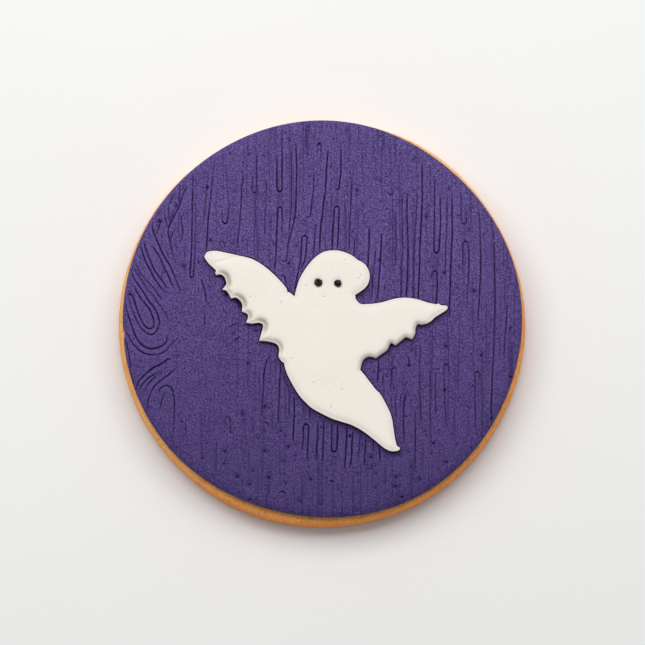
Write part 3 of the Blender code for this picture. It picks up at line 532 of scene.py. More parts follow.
# Small pits left by air in the paste: the deeper ones, then the shallower
deep_pits = np.reshape([
    -0.65, 35.35, -16.8, 3.6, -19, 5.05, -13.1, -2, -16.4, 2.9, -38, 5.3, -32.2, 19.9, -31.95, 19.75,
    -28.86, 22.9, -22.74, 26.65, -22.15, 16, 11.25, 12, 20.5, 20.6, 29.85, 5.85, 23.95, 9.5, 6.85, 26,
    33.2, -19.4, -15.7, -18.5, -19.2, -25.9, -14.65, -8.6, -6.7, -25, -11.3, -25.85, 5.4, -22.9, 21.8, -24.3,
    24.35, -5.2, 31.2, -6.9, 36.9, -11.1, 24, -13.8, -2.3, -31.4, -16.65, -30.9, 9.5, -27, 14.3, -32.8,
    19.1, -31.3, 15.55, -34.9, 17, -8.95, -10.5, -31, -6.65, 11.35, -27.3, 10.8, 14.4, -31, 24.4, -28,
    -14.3, -35.3, -11.3, -17.1,
], (-1, 2))
shallow_pits = np.reshape([
    -17.3, 25.8, -19.95, 26.6, -15.9, 29.5, -18.3, 33.4, -14.55, 33.1, -15.65, 15.9, -7.3, 37.5, -6.4, 36,
    -7.2, 32.3, -4.5, 32.35, -5.15, 14.8, 1.6, 30.6, 4.7, 38, 5.15, 31.85, 6.8, 25, 8, 23, 5.9, 17.7,
    10.7, 28.2, 11.4, 27.9, 11.5, 36.8, 14.8, 26.2, 16.1, 14.5, 18.7, 28.8, 18, 25.9, 21, 22.8, 24.9, 26.25,
    26.85, 20.9, 29, 18.1, 29.25, 21.8, 31.8, 17.1, 20.9, 11.7, 26.5, 6.5, -3.5, 19.8, -3.8, 19.2,
    -24.5, 11.7, -26.05, 9.5, -26.6, -1, -21.4, -2.9, -33.9, -17.2, -28.5, -7.1, -35.8, -8.1, -18.4, -8.7,
    -27.6, -20.1, -26.9, -21.5, -23.5, -27.3, -28.6, -25.2, -10.6, -26, -7.25, -22.9, -8.1, -22, -10.5, -17.3,
    -12.5, -6.8, -12.7, -23.3, -0.3, -21.2, -11.4, -22, 17.4, -5.9, 16.35, -19, 20.6, -8.55, 11.35, -10,
    20, -22, 16.85, -26, 30.5, -5.9, 29.5, -13, 27.9, -16.8, 28.85, -17.3, 26.3, -12.1, 31.6, -20.4,
    37.2, -1.4, 31.1, -2.8, -14.45, -32.55, -13.75, -29.7, -15.75, -31.8, -16.35, -34, -7.2, -32.2,
    -4.3, -35.8, -0.4, -36.3, 6.45, -34.3, -7.9, -27.8, -7.35, -28, -5.3, -24.6, -5.5, -26.7, 9.4, -29.3,
    14.4, -31.9, 15.2, -30.7, 17.4, -29, 10.35, -28.7, 10.4, -30.2, 6.8, -37.6, 10.35, -33.1, 14.9, -26.6,
    13.95, -13.5, -13.7, -29.7, -18.05, -22.1, -14.3, -32.5, -8.05, -21.9, 9.65, -27.05, 9.65, -29,
    10.45, -30.2, 21.6, -24.4, 21.3, -26.4, 22.3, -17.8, -19.2, -28.4, -4.8, -35.6, -10.7, -31.2, 6.9, -30.4,
    12.1, -31.9, 26.4, -24.6, 29.2, -25.2, 3.2, -33.4, -22.6, -24.3,
], (-1, 2))

# How far each pit reaches and how deep it is; a pin prick's depth is a share of its reach
deep_pit = (0.27, 0.36)
shallow_pit = (0.21, 0.2)
bend_pit = (0.26, 0.2)
pin_pits = 300
pin_reaches = (0.1, 0.17)
pin_depth = 0.65
pit_fade = 1.3
# How deep a pit is when its painted shade is full
pit_full_shade = 0.21


def smooth_route(places, step):
    """A smooth curve through the places, stepped evenly."""
    places = np.reshape(places, (-1, 2)).astype(float)
    padded = np.concatenate([[places[0] * 2 - places[1]], places, [places[-1] * 2 - places[-2]]])
    route = [places[0]]
    for a, b, c, d in zip(padded, padded[1:], padded[2:], padded[3:]):
        count = max(1, math.ceil(math.dist(b, c) / step))
        for t in np.arange(1, count + 1) / count:
            route.append(0.5 * (2 * b + (c - a) * t + (2 * a - 5 * b + 4 * c - d) * t ** 2
                                + (3 * b - 3 * c + d - a) * t ** 3))
    return np.array(route)


def slot_route(side, other):
    """The places along one side, round the half circle and back along the other side, and the
    middle of the half circle."""
    side, other = np.reshape(side, (-1, 2)), np.reshape(other, (-1, 2))
    start = side[-1]
    middle = (start + other[-1]) / 2
    ahead = start - side[-2]
    ahead = ahead / np.linalg.norm(ahead) * math.dist(start, other[-1]) / 2
    turns = np.arange(1, 6) / 6 * math.pi
    bend = [middle + (start - middle) * math.cos(t) + ahead * math.sin(t) for t in turns]
    return np.concatenate([side, bend, other[::-1]]), bend[2]


def headings(route):
    """Which way a route runs at each of its places."""
    heading = np.gradient(route, axis=0)
    return heading / np.linalg.norm(heading, axis=1)[:, None]


def beside(route, offset):
    """The places of a route moved to its side."""
    heading = headings(route)
    return route + np.stack([-heading[:, 1], heading[:, 0]], axis=1) * offset


def nearest_on(route, points):
    """Each point's distance from a route, how far along it its nearest place is, and its length."""
    run = np.diff(route, axis=0)
    length = np.linalg.norm(run, axis=1)
    travelled = np.r_[0, np.cumsum(length)]
    away = points[:, None, :] - route[None, :-1, :]
    share = np.clip((away * run).sum(axis=2) / np.maximum(length ** 2, 1e-9), 0, 1)
    distance = np.linalg.norm(away - share[:, :, None] * run, axis=2)
    nearest = distance.argmin(axis=1)
    picked = (np.arange(len(points)), nearest)
    return distance[picked], travelled[nearest] + share[picked] * length[nearest], travelled[-1]


def circle(x, y, reach, count):
    """Places on a circle round one place."""
    return [(x + reach * math.cos(t), y + reach * math.sin(t)) for t in np.arange(count) / count * math.tau]


def hole_places(x, y, reach):
    """The middle of a small hole and two circles of places in it."""
    return [(x, y)] + circle(x, y, reach / 2, 6) + circle(x, y, reach, 8)


def spread(kept, candidates, gap):
    """The kept places, then each candidate that is at least a gap from all places so far."""
    cells = {}
    places = []

    def keep(place):
        cells.setdefault((int(place[0] // gap), int(place[1] // gap)), []).append(place)
        places.append(place)

    for place in np.asarray(kept).tolist():
        keep(place)
    for x, y in np.asarray(candidates).tolist():
        column, row = int(x // gap), int(y // gap)
        near = [q for i in (-1, 0, 1) for j in (-1, 0, 1) for q in cells.get((column + i, row + j), ())]
        if all((q[0] - x) ** 2 + (q[1] - y) ** 2 >= gap * gap for q in near):
            keep((x, y))
    return np.array(places)


def falling(value, reach):
    """1 where a value is 0, falling evenly to 0 where it has reached its reach."""
    return 1 - np.clip(value / reach, 0, 1)


def swell(value, middle, width):
    """1 where a value is at the middle, fading softly either side."""
    return np.exp(-((value - middle) / width) ** 2)


def add_rows(points, faces, last, rows):
    """All points with more rings after the last one, and the numbers of the new last ring."""
    for row in rows:
        numbers = np.arange(len(points), len(points) + len(row))
        points = np.concatenate([points, row])
        faces += strip(last, numbers)
        last = numbers
    return points, last


def icing_reach(angle):
    """How far the paste reaches in each direction, with the nick in its left edge."""
    from_nick = (angle - nick[0] + math.pi) % math.tau - math.pi
    return icing_radius + stray(angle, icing_waves) - nick[2] * np.exp(-(from_nick / nick[1]) ** 2)


def inside_edge(candidates, margin):
    """Those places that are at least a margin in from the edge of the paste."""
    angle = np.arctan2(candidates[:, 1], candidates[:, 0])
    return candidates[np.linalg.norm(candidates, axis=1) < icing_reach(angle) - margin]


def paste_ring(inset):
    """Places all round the paste, that far in from its edge."""
    return outward * (icing_reach(angles) - inset)[:, None]


rng = np.random.default_rng(11)
grain = [(strengths, smooth_route(places, along_step)) for strengths, places in channels]
slot_paths = [(strengths, *slot_route(*sides)) for strengths, *sides in slots]
grain += [(strengths, smooth_route(route, along_step)) for strengths, route, _ in slot_paths]
for _, route in grain:
    route += wander * np.column_stack([cloud(route, wander_length, seed=seed) for seed in (12.0, 17.0)])
pit_angles = rng.uniform(0, math.tau, pin_pits)
pit_reaches = (icing_radius - 1.2) * np.sqrt(rng.uniform(0, 1, pin_pits))
pins = np.stack([pit_reaches * np.cos(pit_angles), pit_reaches * np.sin(pit_angles)], axis=1)
pits = [(place, *deep_pit) for place in deep_pits] + [(place, *shallow_pit) for place in shallow_pits]
pits += [(bend, bend_pit[0], bend_pit[1] * np.mean(strengths)) for strengths, _, bend in slot_paths]
pits += [(place, size, size * pin_depth) for place, size in zip(pins, rng.uniform(*pin_reaches, pin_pits))]

angles, outward = directions(icing_rim_count)
outline = paste_ring(0.0)
rings = np.concatenate([paste_ring(inset) for inset in edge_rings])
places = []
for (x, y), reach, _ in pits:
    places += hole_places(x, y, reach)
for _, route in grain:
    heading = headings(route)
    for offset in across_rows:
        places.extend(beside(route, offset))
    for end, ahead in ((route[0], -heading[0]), (route[-1], heading[-1])):
        places.extend([end + ahead * reach for reach in end_steps])
inner = spread(rings[-1:], inside_edge(np.array(places), edge_rings[-1] + 0.1), grain_gap)
inner = spread(inner, np.concatenate([paste_ring(inset) for inset in shoulder_rings]), shoulder_gap)
grid = jittered_grid(-icing_radius, icing_radius, surface_step, seed=5)
inner = spread(inner, inside_edge(grid, shoulder_rings[-1] + 0.3), surface_gap)[1:]
flat = np.concatenate([outline, rings, inner])

depth = np.zeros(len(flat))
lip = np.zeros(len(flat))
margin = channel_half * 2.5
for strengths, route in grain:
    within = (flat > route.min(axis=0) - margin) & (flat < route.max(axis=0) + margin)
    near = np.flatnonzero(within.all(axis=1))
    distance, along, length = nearest_on(route, flat[near])
    strengths = np.atleast_1d(strengths)
    strength = np.interp(along / length, np.linspace(0, 1, len(strengths)), strengths)
    to_end = np.minimum(along, length - along)
    strength *= 1 - (1 - end_strength) * falling(to_end, min(open_end, length / 3))
    strength *= 1 + line_change[0] * cloud(flat[near], line_change[1], seed=6.0)
    half = channel_half * (weakest_width + (1 - weakest_width) * strength)
    depth[near] = np.maximum(depth[near], strength * bowl(distance, half) ** 1.6)
    lip[near] = np.maximum(lip[near], strength * swell(distance - half, lip_away, lip_width))
pitted = np.zeros(len(flat))
for place, reach, sink in pits:
    near = np.flatnonzero((np.abs(flat - place) < reach * pit_fade).all(axis=1))
    hole = bowl(np.linalg.norm(flat[near] - place, axis=1), reach * pit_fade)
    pitted[near] = np.maximum(pitted[near], sink * hole ** 1.5)
ridge = lip * (depth < 0.02)
inset = icing_reach(np.arctan2(flat[:, 1], flat[:, 0])) - np.linalg.norm(flat, axis=1)
height = icing_top - surface_low + swells[0] * cloud(flat, swells[1], seed=3.0)
height += ripples[0] * cloud(flat, ripples[1], seed=8.0)
height -= edge_slope[1] * falling(inset, edge_slope[0]) ** 2
height -= edge_round[1] * (1 - np.sqrt(1 - falling(inset, edge_round[0]) ** 2))
height += lip_height * ridge - channel_depth * depth - pitted
points = np.column_stack([flat, np.minimum(height, icing_top)])
faces = fill(outline, flat[icing_rim_count:])
rows = [at_height(paste_ring(inset), z) for inset, z in wall_rows]
points, last = add_rows(points, faces, np.arange(icing_rim_count), rows)
under = inside_edge(jittered_grid(-icing_radius, icing_radius, under_step, seed=6), 3.0)
points = close_ring(points, faces, last, at_height(under, wall_rows[-1][1]))

purple, tree, shader, place = new_material("purple_icing")
violet = (0.084, 0.0495, 0.201, 1.0)
violet_dark = (0.028, 0.013, 0.092, 1.0)
violet_light_and_lip_highlight = (0.150, 0.102, 0.300, 1.0)
violet_streak_and_near_shade = (0.024, 0.013, 0.082, 1.0)
indigo_hollow_shade = (0.012, 0.004, 0.055, 1.0)
split = add_node(tree, "SeparateXYZ", {0: place}).outputs
paste = add_mottle(tree, place, (violet, violet_dark, violet_light_and_lip_highlight), (1.0, 0.16), (3300.0, 240.0))
drawn_out = add_node(tree, "Mapping", {"Vector": place, "Scale": (2700.0, 65.0, 300.0)}).outputs[0]
streaks = add_node(tree, "TexNoise", {"Vector": drawn_out, "Scale": 1.0, "Detail": 2.5, "Roughness": 0.6})
combed_side = remap(tree, split["X"], -27 * MM, -10 * MM, 0.15, 0.6)
combed = compute(tree, "MULTIPLY", remap(tree, streaks.outputs[0], 0.43, 0.36, 0.0, 1.0), combed_side)
# Painted shade: tiny round pin pricks are darkened to indigo
bubbles = add_node(tree, "TexVoronoi", {"Vector": place, "Scale": 780.0}).outputs
chance = add_node(tree, "SeparateColor", {0: bubbles["Color"]}).outputs[0]
pricks = compute(tree, "MULTIPLY", remap(tree, bubbles["Distance"], 0.17, 0.07, 0.0, 0.95),
                 remap(tree, chance, 0.35, 0.75, 0.0, 1.0))
# Painted shade: the paste deepens in colour towards the near side, away from the light
painted_shade_near = remap(tree, split["Y"], 24 * MM, -42 * MM, 0.0, 0.45)
combed_colour = mix_colours(tree, combed, paste["Colour"], violet_streak_and_near_shade)
# Painted highlight: the raised lips beside the channels are coloured lighter violet
lip_highlight_share = remap(tree, read_mask(tree, "lip"), 0.1, 1.0, 0.0, 0.28)
lip_highlighted = mix_colours(tree, lip_highlight_share, combed_colour, violet_light_and_lip_highlight)
pricks_shaded = mix_colours(tree, pricks, mix_colours(tree, painted_shade_near, lip_highlighted, violet_streak_and_near_shade), indigo_hollow_shade)
# Painted shade: the channels and the pits are coloured deep indigo, darkest where they sink furthest
groove_shade_share = remap(tree, read_mask(tree, "channel_shade"), 0.05, 0.9, 0.0, 0.9)
satin = compute(tree, "MULTIPLY", paste["Roughness"], 0.72)
finish_surface(tree, shader, mix_colours(tree, groove_shade_share, pricks_shaded, indigo_hollow_shade), satin, 0.2)
sunk = compute(tree, "ADD", combed, pricks)
roughen(tree, shader, compute(tree, "MULTIPLY_ADD", sunk, -0.5, paste["Height"]), 1.0, 0.00018)
# The channel mask carries the painted shade of the channels and the pits
masks = {"channel_shade": np.clip(depth + pitted / pit_full_shade, 0, 1), "lip": np.clip(ridge, 0, 1)}
icing = add_piece("purple_paste_disc", points, faces, purple, masks)
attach(icing, "root")
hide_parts("icing_disc")

# The ghost: cut from thin white sugar paste with a cutter and stuck flat on the purple disc. Its
# right hem rolls softly down; the bays of its left hem are pressed in with a rounded tool. The
# face is matt and nearly flat with a few pinholes, and two shallow dimples take the eyes.
ghost_foot = 7.9
ghost_top = 9.6
wall_top = 8.3
crown_swell = (0.03, 6.0)
# Kinds of edge: how wide its roll is, how far its wall stands up, and how far its bays are pressed
crisp = (0.26, 1.0, 0.0)
soft = (0.9, 0.4, 0.0)
pressed_bay = (1.2, 0.5, 1.0)
eased_bay = (1.2, 0.5, 0.5)
bay_span = 4
bay_sink = 0.5
bay_full = 0.4
bay_middle = 0.42
bay_reaches = (0.26, 0.62)
# Lines along the edge: how far in, how wide, how high or deep
hem_lip = (0.1, 0.09, 0.06)
cutter_line = (0.42, 0.14, 0.05)
# The slope of the crown to its edge: how far in it reaches and how deep; the wall: how far in, how high
crown_slope = (1.8, 0.26)
ghost_wall = ((0.04, 8.4), (0.16, 8.05), (0.2, ghost_foot))
ghost_runs = [
    (crisp, [-23.3, 12.4, -23.15, 12.85, -22.8, 13.4]),
    (crisp, [-22.8, 13.4, -22, 13.62, -20.8, 13.66, -19.2, 13.32, -16.7, 12.77, -14.2, 12.15, -12.5, 11.3,
     -10.6, 9.9, -8.8, 8.2, -7.4, 6.6, -7, 5.95]),
    (crisp, [-6.9, 5.4, -6.5, 5.4, -5.5, 4.6]),
    (crisp, [-5.2, 6, -4.5, 8.1, -3.4, 10.05, -1.8, 12.05, 0, 13.37, 1.8, 13.75, 3.6, 13.62, 5.6, 12.85,
     7.05, 11.75]),
    (crisp, [7.4, 11.65, 8.45, 10.85, 9.2, 9.3, 9.15, 7.7, 8.35, 6.3, 6.4, 4.9]),
    (crisp, [6.5, 4.1, 7.4, 3.15, 9.2, 3.1, 11.5, 3.4, 14.2, 4.15, 16.4, 4.34, 18.6, 4.02, 20.7, 3.37,
     22.3, 3.02]),
    (crisp, [22.8, 3.2, 23.3, 2.85, 24.3, 2.75, 24.6, 2.35, 24.1, 1.75, 22.2, 0.55, 21.3, -0.3, 20.5, -0.8]),
    (soft, [20.5, -0.8, 19.4, -1, 18.7, -0.9, 18.3, -1.7, 18.2, -2.8, 17.6, -3.95]),
    (soft, [17.6, -3.95, 16.4, -3.5, 15.7, -4, 14.3, -5.15]),
    (soft, [14.3, -5.15, 13.4, -4.65, 12.7, -6, 11.5, -6.9, 10.4, -7.7]),
    (soft, [10.4, -7.7, 9.8, -7.4, 8.8, -7.4, 7.9, -8.2, 7.4, -9.9]),
    (crisp, [7.4, -9.9, 8.15, -10.85, 10.4, -13.8, 11.35, -14.8, 13, -17.9, 13.6, -19.7, 13.9, -21.7,
     14.2, -23.6, 14.55, -25]),
    (crisp, [15.2, -25.35, 14.9, -25.85, 13.5, -26, 12.1, -25.4, 10.1, -23.75, 7.9, -22.05, 5.7, -20.84,
     3.5, -20.13, 1.5, -19.43, -1.8, -17.7, -3.1, -16.6, -4.75, -14.75, -6.62, -11.5, -7.3, -9.8,
     -7.6, -8.6]),
    (eased_bay, [-8.05, -8.3, -8.67, -7.3, -8.55, -5.7, -9.2, -4.75, -10.9, -4.3, -12.5, -4.2]),
    (pressed_bay, [-12.5, -4.2, -12.1, -2.8, -11.7, -1.1, -12.5, -0.6, -13.9, -0.8, -15.1, -0.6]),
    (eased_bay, [-15.1, -0.6, -14.65, 0.6, -14.9, 1.2, -15.9, 1.6]),
    (pressed_bay, [-15.9, 1.6, -15.8, 3, -16.25, 3.85, -17.05, 4.4, -18, 4.15]),
    (eased_bay, [-18, 4.15, -18.4, 5, -18.9, 5.7, -19.8, 6]),
    (pressed_bay, [-19.8, 6, -19, 7, -19, 7.6, -19.35, 8.55, -20.1, 9, -20.9, 8.85]),
    (crisp, [-20.9, 8.85, -21.2, 9.3, -21, 9.8, -22.4, 11.15, -23.3, 12.4]),
]
outline_step = 0.35
roll_blend = 4
bay_blend = 2
ghost_rings = (0.03, 0.08, 0.13, 0.2, 0.3, 0.42, 0.56, 0.75, 1.0, 1.3, 1.7)
face_step = 0.55
eyes = {"left": ((-0.83, 7.35), 0.77), "right": ((3.0, 7.2), 0.68)}
dimple_reach = 1.5
dimple_depth = 0.28
dimple_rings = (0.0, 0.35, 0.7, 1.0, 1.25, 1.5)
pinholes = np.reshape([
    -8.15, 3.4, 4.4, 11.85, -3.25, 6.8, 0.4, 4.55, 7.2, 8.2, -14.2, 4.55, -6.15, -7.7, -1.7, -12.5,
    3.8, -13.8, 1.65, -17.3, 7.5, 8.9, 8, 7.1,
], (-1, 2))
faint_pinholes = np.reshape([
    -1.6, -11.4, -0.8, -12.2, 0.1, -11.8, 0.9, -12.9, 1.8, -12.4, 2.6, -13.3, 0.4, -13.6, 2.9, -11.9,
    -2.9, 11, 1.9, 10.4, -11.2, 5.7, 5.2, -2.4, -3.6, -9.7, 8.9, -16.2,
], (-1, 2))
pinhole_reach = 0.12
pinhole_fade = 1.1
pinhole_depth = 0.05
wrinkles = [
    [-21.2, 11.3, -20.2, 11.5, -19, 11.8, -17.9, 12.15, -17.1, 12.4, -16.2, 12.55],
    [-22.6, 12.9, -22, 12.5],
]
wrinkle_depth = 0.1
wrinkle_width = 0.3
wrinkle_rows = (0.0, 0.12, -0.12, 0.27, -0.27, 0.5, -0.5)
wrinkle_step = 0.3


def smoothed(values, reach):
    """Each value of a closed ring, blended with so many neighbours on either side."""
    shifts = range(-reach, reach + 1)
    return sum(np.roll(values, shift, axis=0) for shift in shifts) / len(shifts)


places = []
rolls = []
for roll, run in ghost_runs:
    for place in smooth_route(run, outline_step):
        if not places or math.dist(place, places[-1]) > 0.05:
            places.append(place)
            rolls.append(roll)
if math.dist(places[0], places[-1]) < 0.05:
    places.pop()
    rolls.pop()
ghost_edge = np.array(places)[::-1]
rolls = smoothed(np.array(rolls)[::-1], roll_blend)


def from_edge(points):
    """Each point's way in from the ghost's edge: as a share of the edge's width, then the wall there,
    the number of the nearest place on the edge, and the way in itself."""
    run = np.roll(ghost_edge, -1, axis=0) - ghost_edge
    away = points[:, None, :] - ghost_edge[None, :, :]
    along = np.clip((away * run).sum(axis=2) / (run ** 2).sum(axis=1), 0, 1)
    distance = np.linalg.norm(away - along[:, :, None] * run, axis=2)
    change = np.roll(rolls, -1, axis=0) - rolls
    share = distance / (rolls[:, 0] + along * change[:, 0])
    walls = rolls[:, 1] + along * change[:, 1]
    picked = (np.arange(len(points)), share.argmin(axis=1))
    return share[picked], walls[picked], distance.argmin(axis=1), distance.min(axis=1)


def inside_ghost(points):
    """True where a line towards +X crosses the ghost's edge an odd number of times."""
    low, high = ghost_edge, np.roll(ghost_edge, -1, axis=0)
    spans = (low[:, 1] > points[:, 1:]) != (high[:, 1] > points[:, 1:])
    rise = np.where(high[:, 1] == low[:, 1], 1.0, high[:, 1] - low[:, 1])
    crossing = low[:, 0] + (points[:, 1:] - low[:, 1]) / rise * (high[:, 0] - low[:, 0])
    return (spans & (crossing > points[:, :1])).sum(axis=1) % 2 == 1


run = np.roll(ghost_edge, -1, axis=0) - ghost_edge
run /= np.linalg.norm(run, axis=1)[:, None]
leaving = np.stack([-run[:, 1], run[:, 0]], axis=1)
arriving = np.roll(leaving, 1, axis=0)
inward = leaving + arriving
inward /= np.linalg.norm(inward, axis=1)[:, None]
turning = (leaving * arriving).sum(axis=1) < math.cos(math.radians(35))
neighbours = np.roll(ghost_edge, bay_span, axis=0) + np.roll(ghost_edge, -bay_span, axis=0)
bays = ((ghost_edge - neighbours / 2) * inward).sum(axis=1) * rolls[:, 2]
bays = smoothed(np.clip(bays / bay_full, 0, 1), bay_blend)
inner = ghost_edge
for reach, before in zip(ghost_rings, (0.0, *ghost_rings)):
    ring = []
    for place, first, half, final, turns in zip(ghost_edge, arriving, inward, leaving, turning):
        ways = (first, first + half, half, half + final, final) if turns else (half,)
        ring += [place + way / np.linalg.norm(way) * reach for way in ways]
    ring = np.array(ring)
    ring = ring[(from_edge(ring)[3] > reach * 0.96) & inside_ghost(ring)]
    inner = spread(inner, ring, (reach - before) * 0.8)
extra = []
for (x, y), _ in eyes.values():
    for reach in dimple_rings:
        extra += circle(x, y, reach, max(1, round(reach * 14)))
for x, y in [*pinholes, *faint_pinholes]:
    extra += hole_places(x, y, pinhole_reach)
folds = [smooth_route(places, wrinkle_step) for places in wrinkles]
for fold in folds:
    for offset in wrinkle_rows:
        extra += beside(fold, offset).tolist()
inner = spread(inner, extra, 0.05)
grid = jittered_grid(ghost_edge.min(axis=0), ghost_edge.max(axis=0), face_step, seed=3)
inner = spread(inner, grid[inside_ghost(grid) & (from_edge(grid)[0] > 1.1)], 0.3)

share, wall, nearest, way_in = from_edge(inner)
crown = ghost_top - crown_swell[0] + crown_swell[0] * cloud(inner, crown_swell[1], seed=2.0)
crown -= crown_slope[1] * falling(way_in, crown_slope[0]) ** 2
crown -= cutter_line[2] * swell(way_in, *cutter_line[:2])
top = wall_top + wall + (crown - wall_top - wall) * np.sqrt(1 - falling(share, 1.0) ** 2)
press = rolls[nearest, 2]
sunken = bays[nearest] * swell(way_in, bay_middle, np.where(way_in < bay_middle, *bay_reaches))
top -= bay_sink * sunken
top += hem_lip[2] * press * swell(way_in, *hem_lip[:2])
for (x, y), _ in eyes.values():
    top -= dimple_depth * bowl(np.linalg.norm(inner - (x, y), axis=1), dimple_reach) ** 2
pinned = np.zeros(len(inner))
for share_dark, spots in ((1.0, pinholes), (0.45, faint_pinholes)):
    for spot in spots:
        hole = bowl(np.linalg.norm(inner - spot, axis=1), pinhole_reach * pinhole_fade)
        pinned = np.maximum(pinned, share_dark * hole)
for fold in folds:
    top -= wrinkle_depth * swell(nearest_on(fold, inner)[0], 0.0, wrinkle_width)
points = np.column_stack([inner, np.minimum(top, ghost_top) - pinhole_depth * pinned])
faces = fill(ghost_edge, inner[len(ghost_edge):])
rows = [at_height(ghost_edge + inward * inset, z) for inset, z in ghost_wall]
points, last = add_rows(points, faces, np.arange(len(ghost_edge)), rows)
points = close_ring(points, faces, last, np.zeros((0, 3)))

white, tree, shader, place = new_material("white_icing")
ivory = (0.790, 0.733, 0.655, 1.0)
ivory_dark = (0.68, 0.615, 0.525, 1.0)
ivory_light = (0.86, 0.82, 0.75, 1.0)
lilac_edge_shade = (0.50, 0.45, 0.50, 1.0)
pinhole_shade_brown = (0.20, 0.12, 0.07, 1.0)
hollow_shade_brown = (0.36, 0.30, 0.22, 1.0)
paste = add_mottle(tree, place, (ivory, ivory_dark, ivory_light), (0.14, 0.10), (2300.0, 130.0))
# Painted shade: the face is tinted darker lilac within 1.3 mm of its edge
edge_shade_share = remap(tree, read_mask(tree, "edge_shade_mask"), 0.0, 1.0, 0.0, 0.25)
# Painted shade: a warm brown-grey lies in the pressed bays and along the soft hem, where the face dips away
# from the light
hollow_shade_share = remap(tree, read_mask(tree, "bay_and_hem_shade_mask"), 0.05, 0.8, 0.0, 0.62)
# Painted shade: the pinholes are coloured dark brown
pinhole_shade_share = remap(tree, read_mask(tree, "pinhole"), 0.1, 0.7, 0.0, 0.85)
edge_shaded = mix_colours(tree, edge_shade_share, paste["Colour"], lilac_edge_shade)
hollow_shaded = mix_colours(tree, hollow_shade_share, edge_shaded, hollow_shade_brown)
finish_surface(tree, shader, mix_colours(tree, pinhole_shade_share, hollow_shaded, pinhole_shade_brown), paste["Roughness"], 0.35)
roughen(tree, shader, paste["Height"], 0.35, 0.00005)
# Where the painted shade of the bays and the soft hem lies
hem = np.clip((crisp[1] - rolls[nearest, 1]) / (crisp[1] - pressed_bay[1]), 0, 1)
bay_and_hem_shade = np.clip(sunken + 0.45 * hem * (1 - press) * falling(way_in, 1.0), 0, 1)
masks = {"pinhole": pinned, "edge_shade_mask": falling(way_in, 1.3), "bay_and_hem_shade_mask": bay_and_hem_shade}
ghost = add_piece("ghost_cut_out", points, faces, white, masks)
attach(ghost, "root")
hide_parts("ghost")

# A dark line round the ghost's foot, a painted contact shadow: a thin, faintly glossy strip on the purple
# all round the edge, tucked a little under the ghost and reaching out further in the bays and on the far
# side.
shadow_reach_least = 0.22
shadow_reach_bays = 0.25
shadow_reach_far = 0.24
shadow_tucked = 0.12
shadow_heights = (8.1, 7.93, 7.88)
contact_shadow_material, tree, shader, place = new_material("painted_contact_shadow")
shadow_violet = (0.014, 0.005, 0.050, 1.0)
shadow_violet_dark = (0.008, 0.003, 0.030, 1.0)
shadow_violet_light = (0.030, 0.014, 0.085, 1.0)
strip_mottle = add_mottle(tree, place, (shadow_violet, shadow_violet_dark, shadow_violet_light), (0.6, 0.4), (2600.0, 500.0))
finish_surface(tree, shader, strip_mottle["Colour"], compute(tree, "MULTIPLY", strip_mottle["Roughness"], 0.7), 0.2)
shadow_reach = shadow_reach_least + shadow_reach_bays * bays + shadow_reach_far * np.clip(-inward[:, 1], 0, 1)
points = np.concatenate([at_height(ghost_edge + inward * inset, z) for inset, z in
                         zip((shadow_tucked, -shadow_reach[:, None], shadow_tucked), shadow_heights)])
numbers = np.arange(len(points)).reshape(3, len(ghost_edge))
faces = [face for upper, lower in zip(numbers, np.roll(numbers, -1, axis=0)) for face in strip(upper, lower)]
contact_shadow_strip = add_piece("contact_shadow_line", points, faces, contact_shadow_material)
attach(contact_shadow_strip, "root")

# The eyes: two beads of black icing dotted into the dimples with a fine tool. They dried with a
# bumpy glossy skin and a slightly uneven edge.
eye_low = 9.3
eye_high = 10.1
edge_limits = (0.8, 1.12)
crown_flat = 0.8
crown_lumps = 0.9
crown_limit = 1.25
black, tree, shader, place = new_material("black_icing")
coal = (0.0025, 0.0025, 0.003, 1.0)
coal_dark = (0.0015, 0.0015, 0.002, 1.0)
coal_light = (0.02, 0.02, 0.02, 1.0)
dried = add_mottle(tree, place, (coal, coal_dark, coal_light), (0.5, 0.3), (2600.0, 1500.0))
finish_surface(tree, shader, dried["Colour"], compute(tree, "MULTIPLY", dried["Roughness"], 0.2), 0.5)
roughen(tree, shader, dried["Height"], 1.0, 0.00001)
bm = bmesh.new()
bmesh.ops.create_icosphere(bm, subdivisions=5, radius=1.0)
ball = np.array([v.co for v in bm.verts])
faces = [[v.index for v in f.verts] for f in bm.faces]
bm.free()
for side, ((x, y), radius) in eyes.items():
    bulge = 0.95 + 0.3 * cloud(ball, 0.75, seed=x + 2.0) + 0.3 * cloud(ball, 0.4, seed=y + 5.0)
    points = ball * np.clip(bulge, *edge_limits)[:, None]
    lumpy = points[:, 2] * crown_flat + crown_lumps * cloud(ball, 0.62, seed=y - x + 1.0)
    points[:, 2] = np.minimum(np.where(points[:, 2] > 0, lumpy, points[:, 2]), crown_limit)
    points = points * (radius, radius, (eye_high - eye_low) / 2) + (x, y, (eye_low + eye_high) / 2)
    eye = add_piece("eye_bead_" + side, points, faces, black)
    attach(eye, "root")
    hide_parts("eye_" + side)

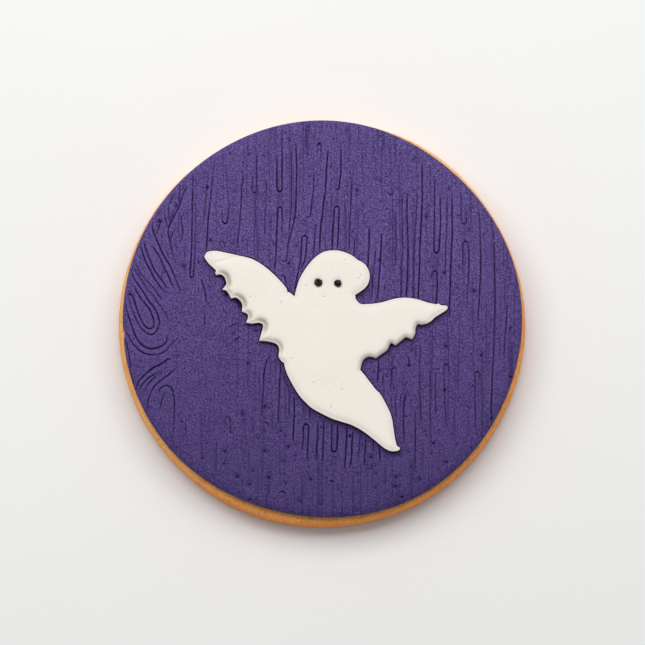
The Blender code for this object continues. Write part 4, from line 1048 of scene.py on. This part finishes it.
# The table: a plain pale board with a dull even finish, that the biscuit lies on. It reaches
# far past everything that is seen of it.
floor_half = 3.0
table, tree, shader, place = new_material("pale_table")
board_pale = (0.80, 0.79, 0.775, 1.0)
board_dark = (0.76, 0.75, 0.735, 1.0)
board_light = (0.83, 0.82, 0.805, 1.0)
board = add_mottle(tree, place, (board_pale, board_dark, board_light), (0.1, 0.2), (900.0, 12.0))
tree.links.new(board["Colour"], shader.inputs["Base Color"])
shader.inputs["Roughness"].default_value = 0.8
corners = [(x * floor_half, y * floor_half, 0) for x, y in ((-1, -1), (1, -1), (1, 1), (-1, 1))]
mesh = bpy.data.meshes.new("table")
mesh.from_pydata(corners, [], [(0, 1, 2, 3)])
mesh.materials.append(table)
floor = bpy.data.objects.new("table", mesh)
bpy.context.collection.objects.link(floor)

# The light: one wide soft box high up beyond the far side and a little to the left, in a pale
# room that fills the shadows.
light_way = Vector((-0.14, 0.99))
light_rise = math.radians(60)
light_distance = 0.6
soft_box = bpy.data.lights.new("soft_box", "AREA")
soft_box.shape = "RECTANGLE"
soft_box.size = 1.1
soft_box.size_y = 0.4
soft_box.energy = 4.7
lamp = bpy.data.objects.new("soft_box", soft_box)
lamp.location = Vector((*(light_way * math.cos(light_rise)), math.sin(light_rise))) * light_distance
lamp.rotation_euler = lamp.location.to_track_quat("Z", "Y").to_euler()
lamp.visible_camera = False
bpy.context.collection.objects.link(lamp)
world = bpy.data.worlds.new("room")
world.use_nodes = True
background = world.node_tree.nodes["Background"].inputs
background["Color"].default_value = (0.95, 0.97, 1.0, 1.0)
background["Strength"].default_value = 0.38
bpy.context.scene.world = world
bpy.context.scene.view_settings.view_transform = "Standard"

# The camera: nearly overhead, 8 degrees from the vertical on the near side, with a lens so long
# that the biscuit stays round.
tilt = math.radians(8)
camera_distance = 1.0
view_width = 0.12687
aim = Vector((-0.00002, -0.0004, icing_top * MM))
lens = bpy.data.cameras.new("camera")
lens.sensor_width = 36.0
lens.lens = lens.sensor_width * camera_distance / view_width
lens.clip_start = 0.01
camera = bpy.data.objects.new("camera", lens)
camera.location = aim + Vector((0.0, -math.sin(tilt), math.cos(tilt))) * camera_distance
camera.rotation_euler = (tilt, 0.0, 0.0)
bpy.context.collection.objects.link(camera)
bpy.context.scene.camera = camera
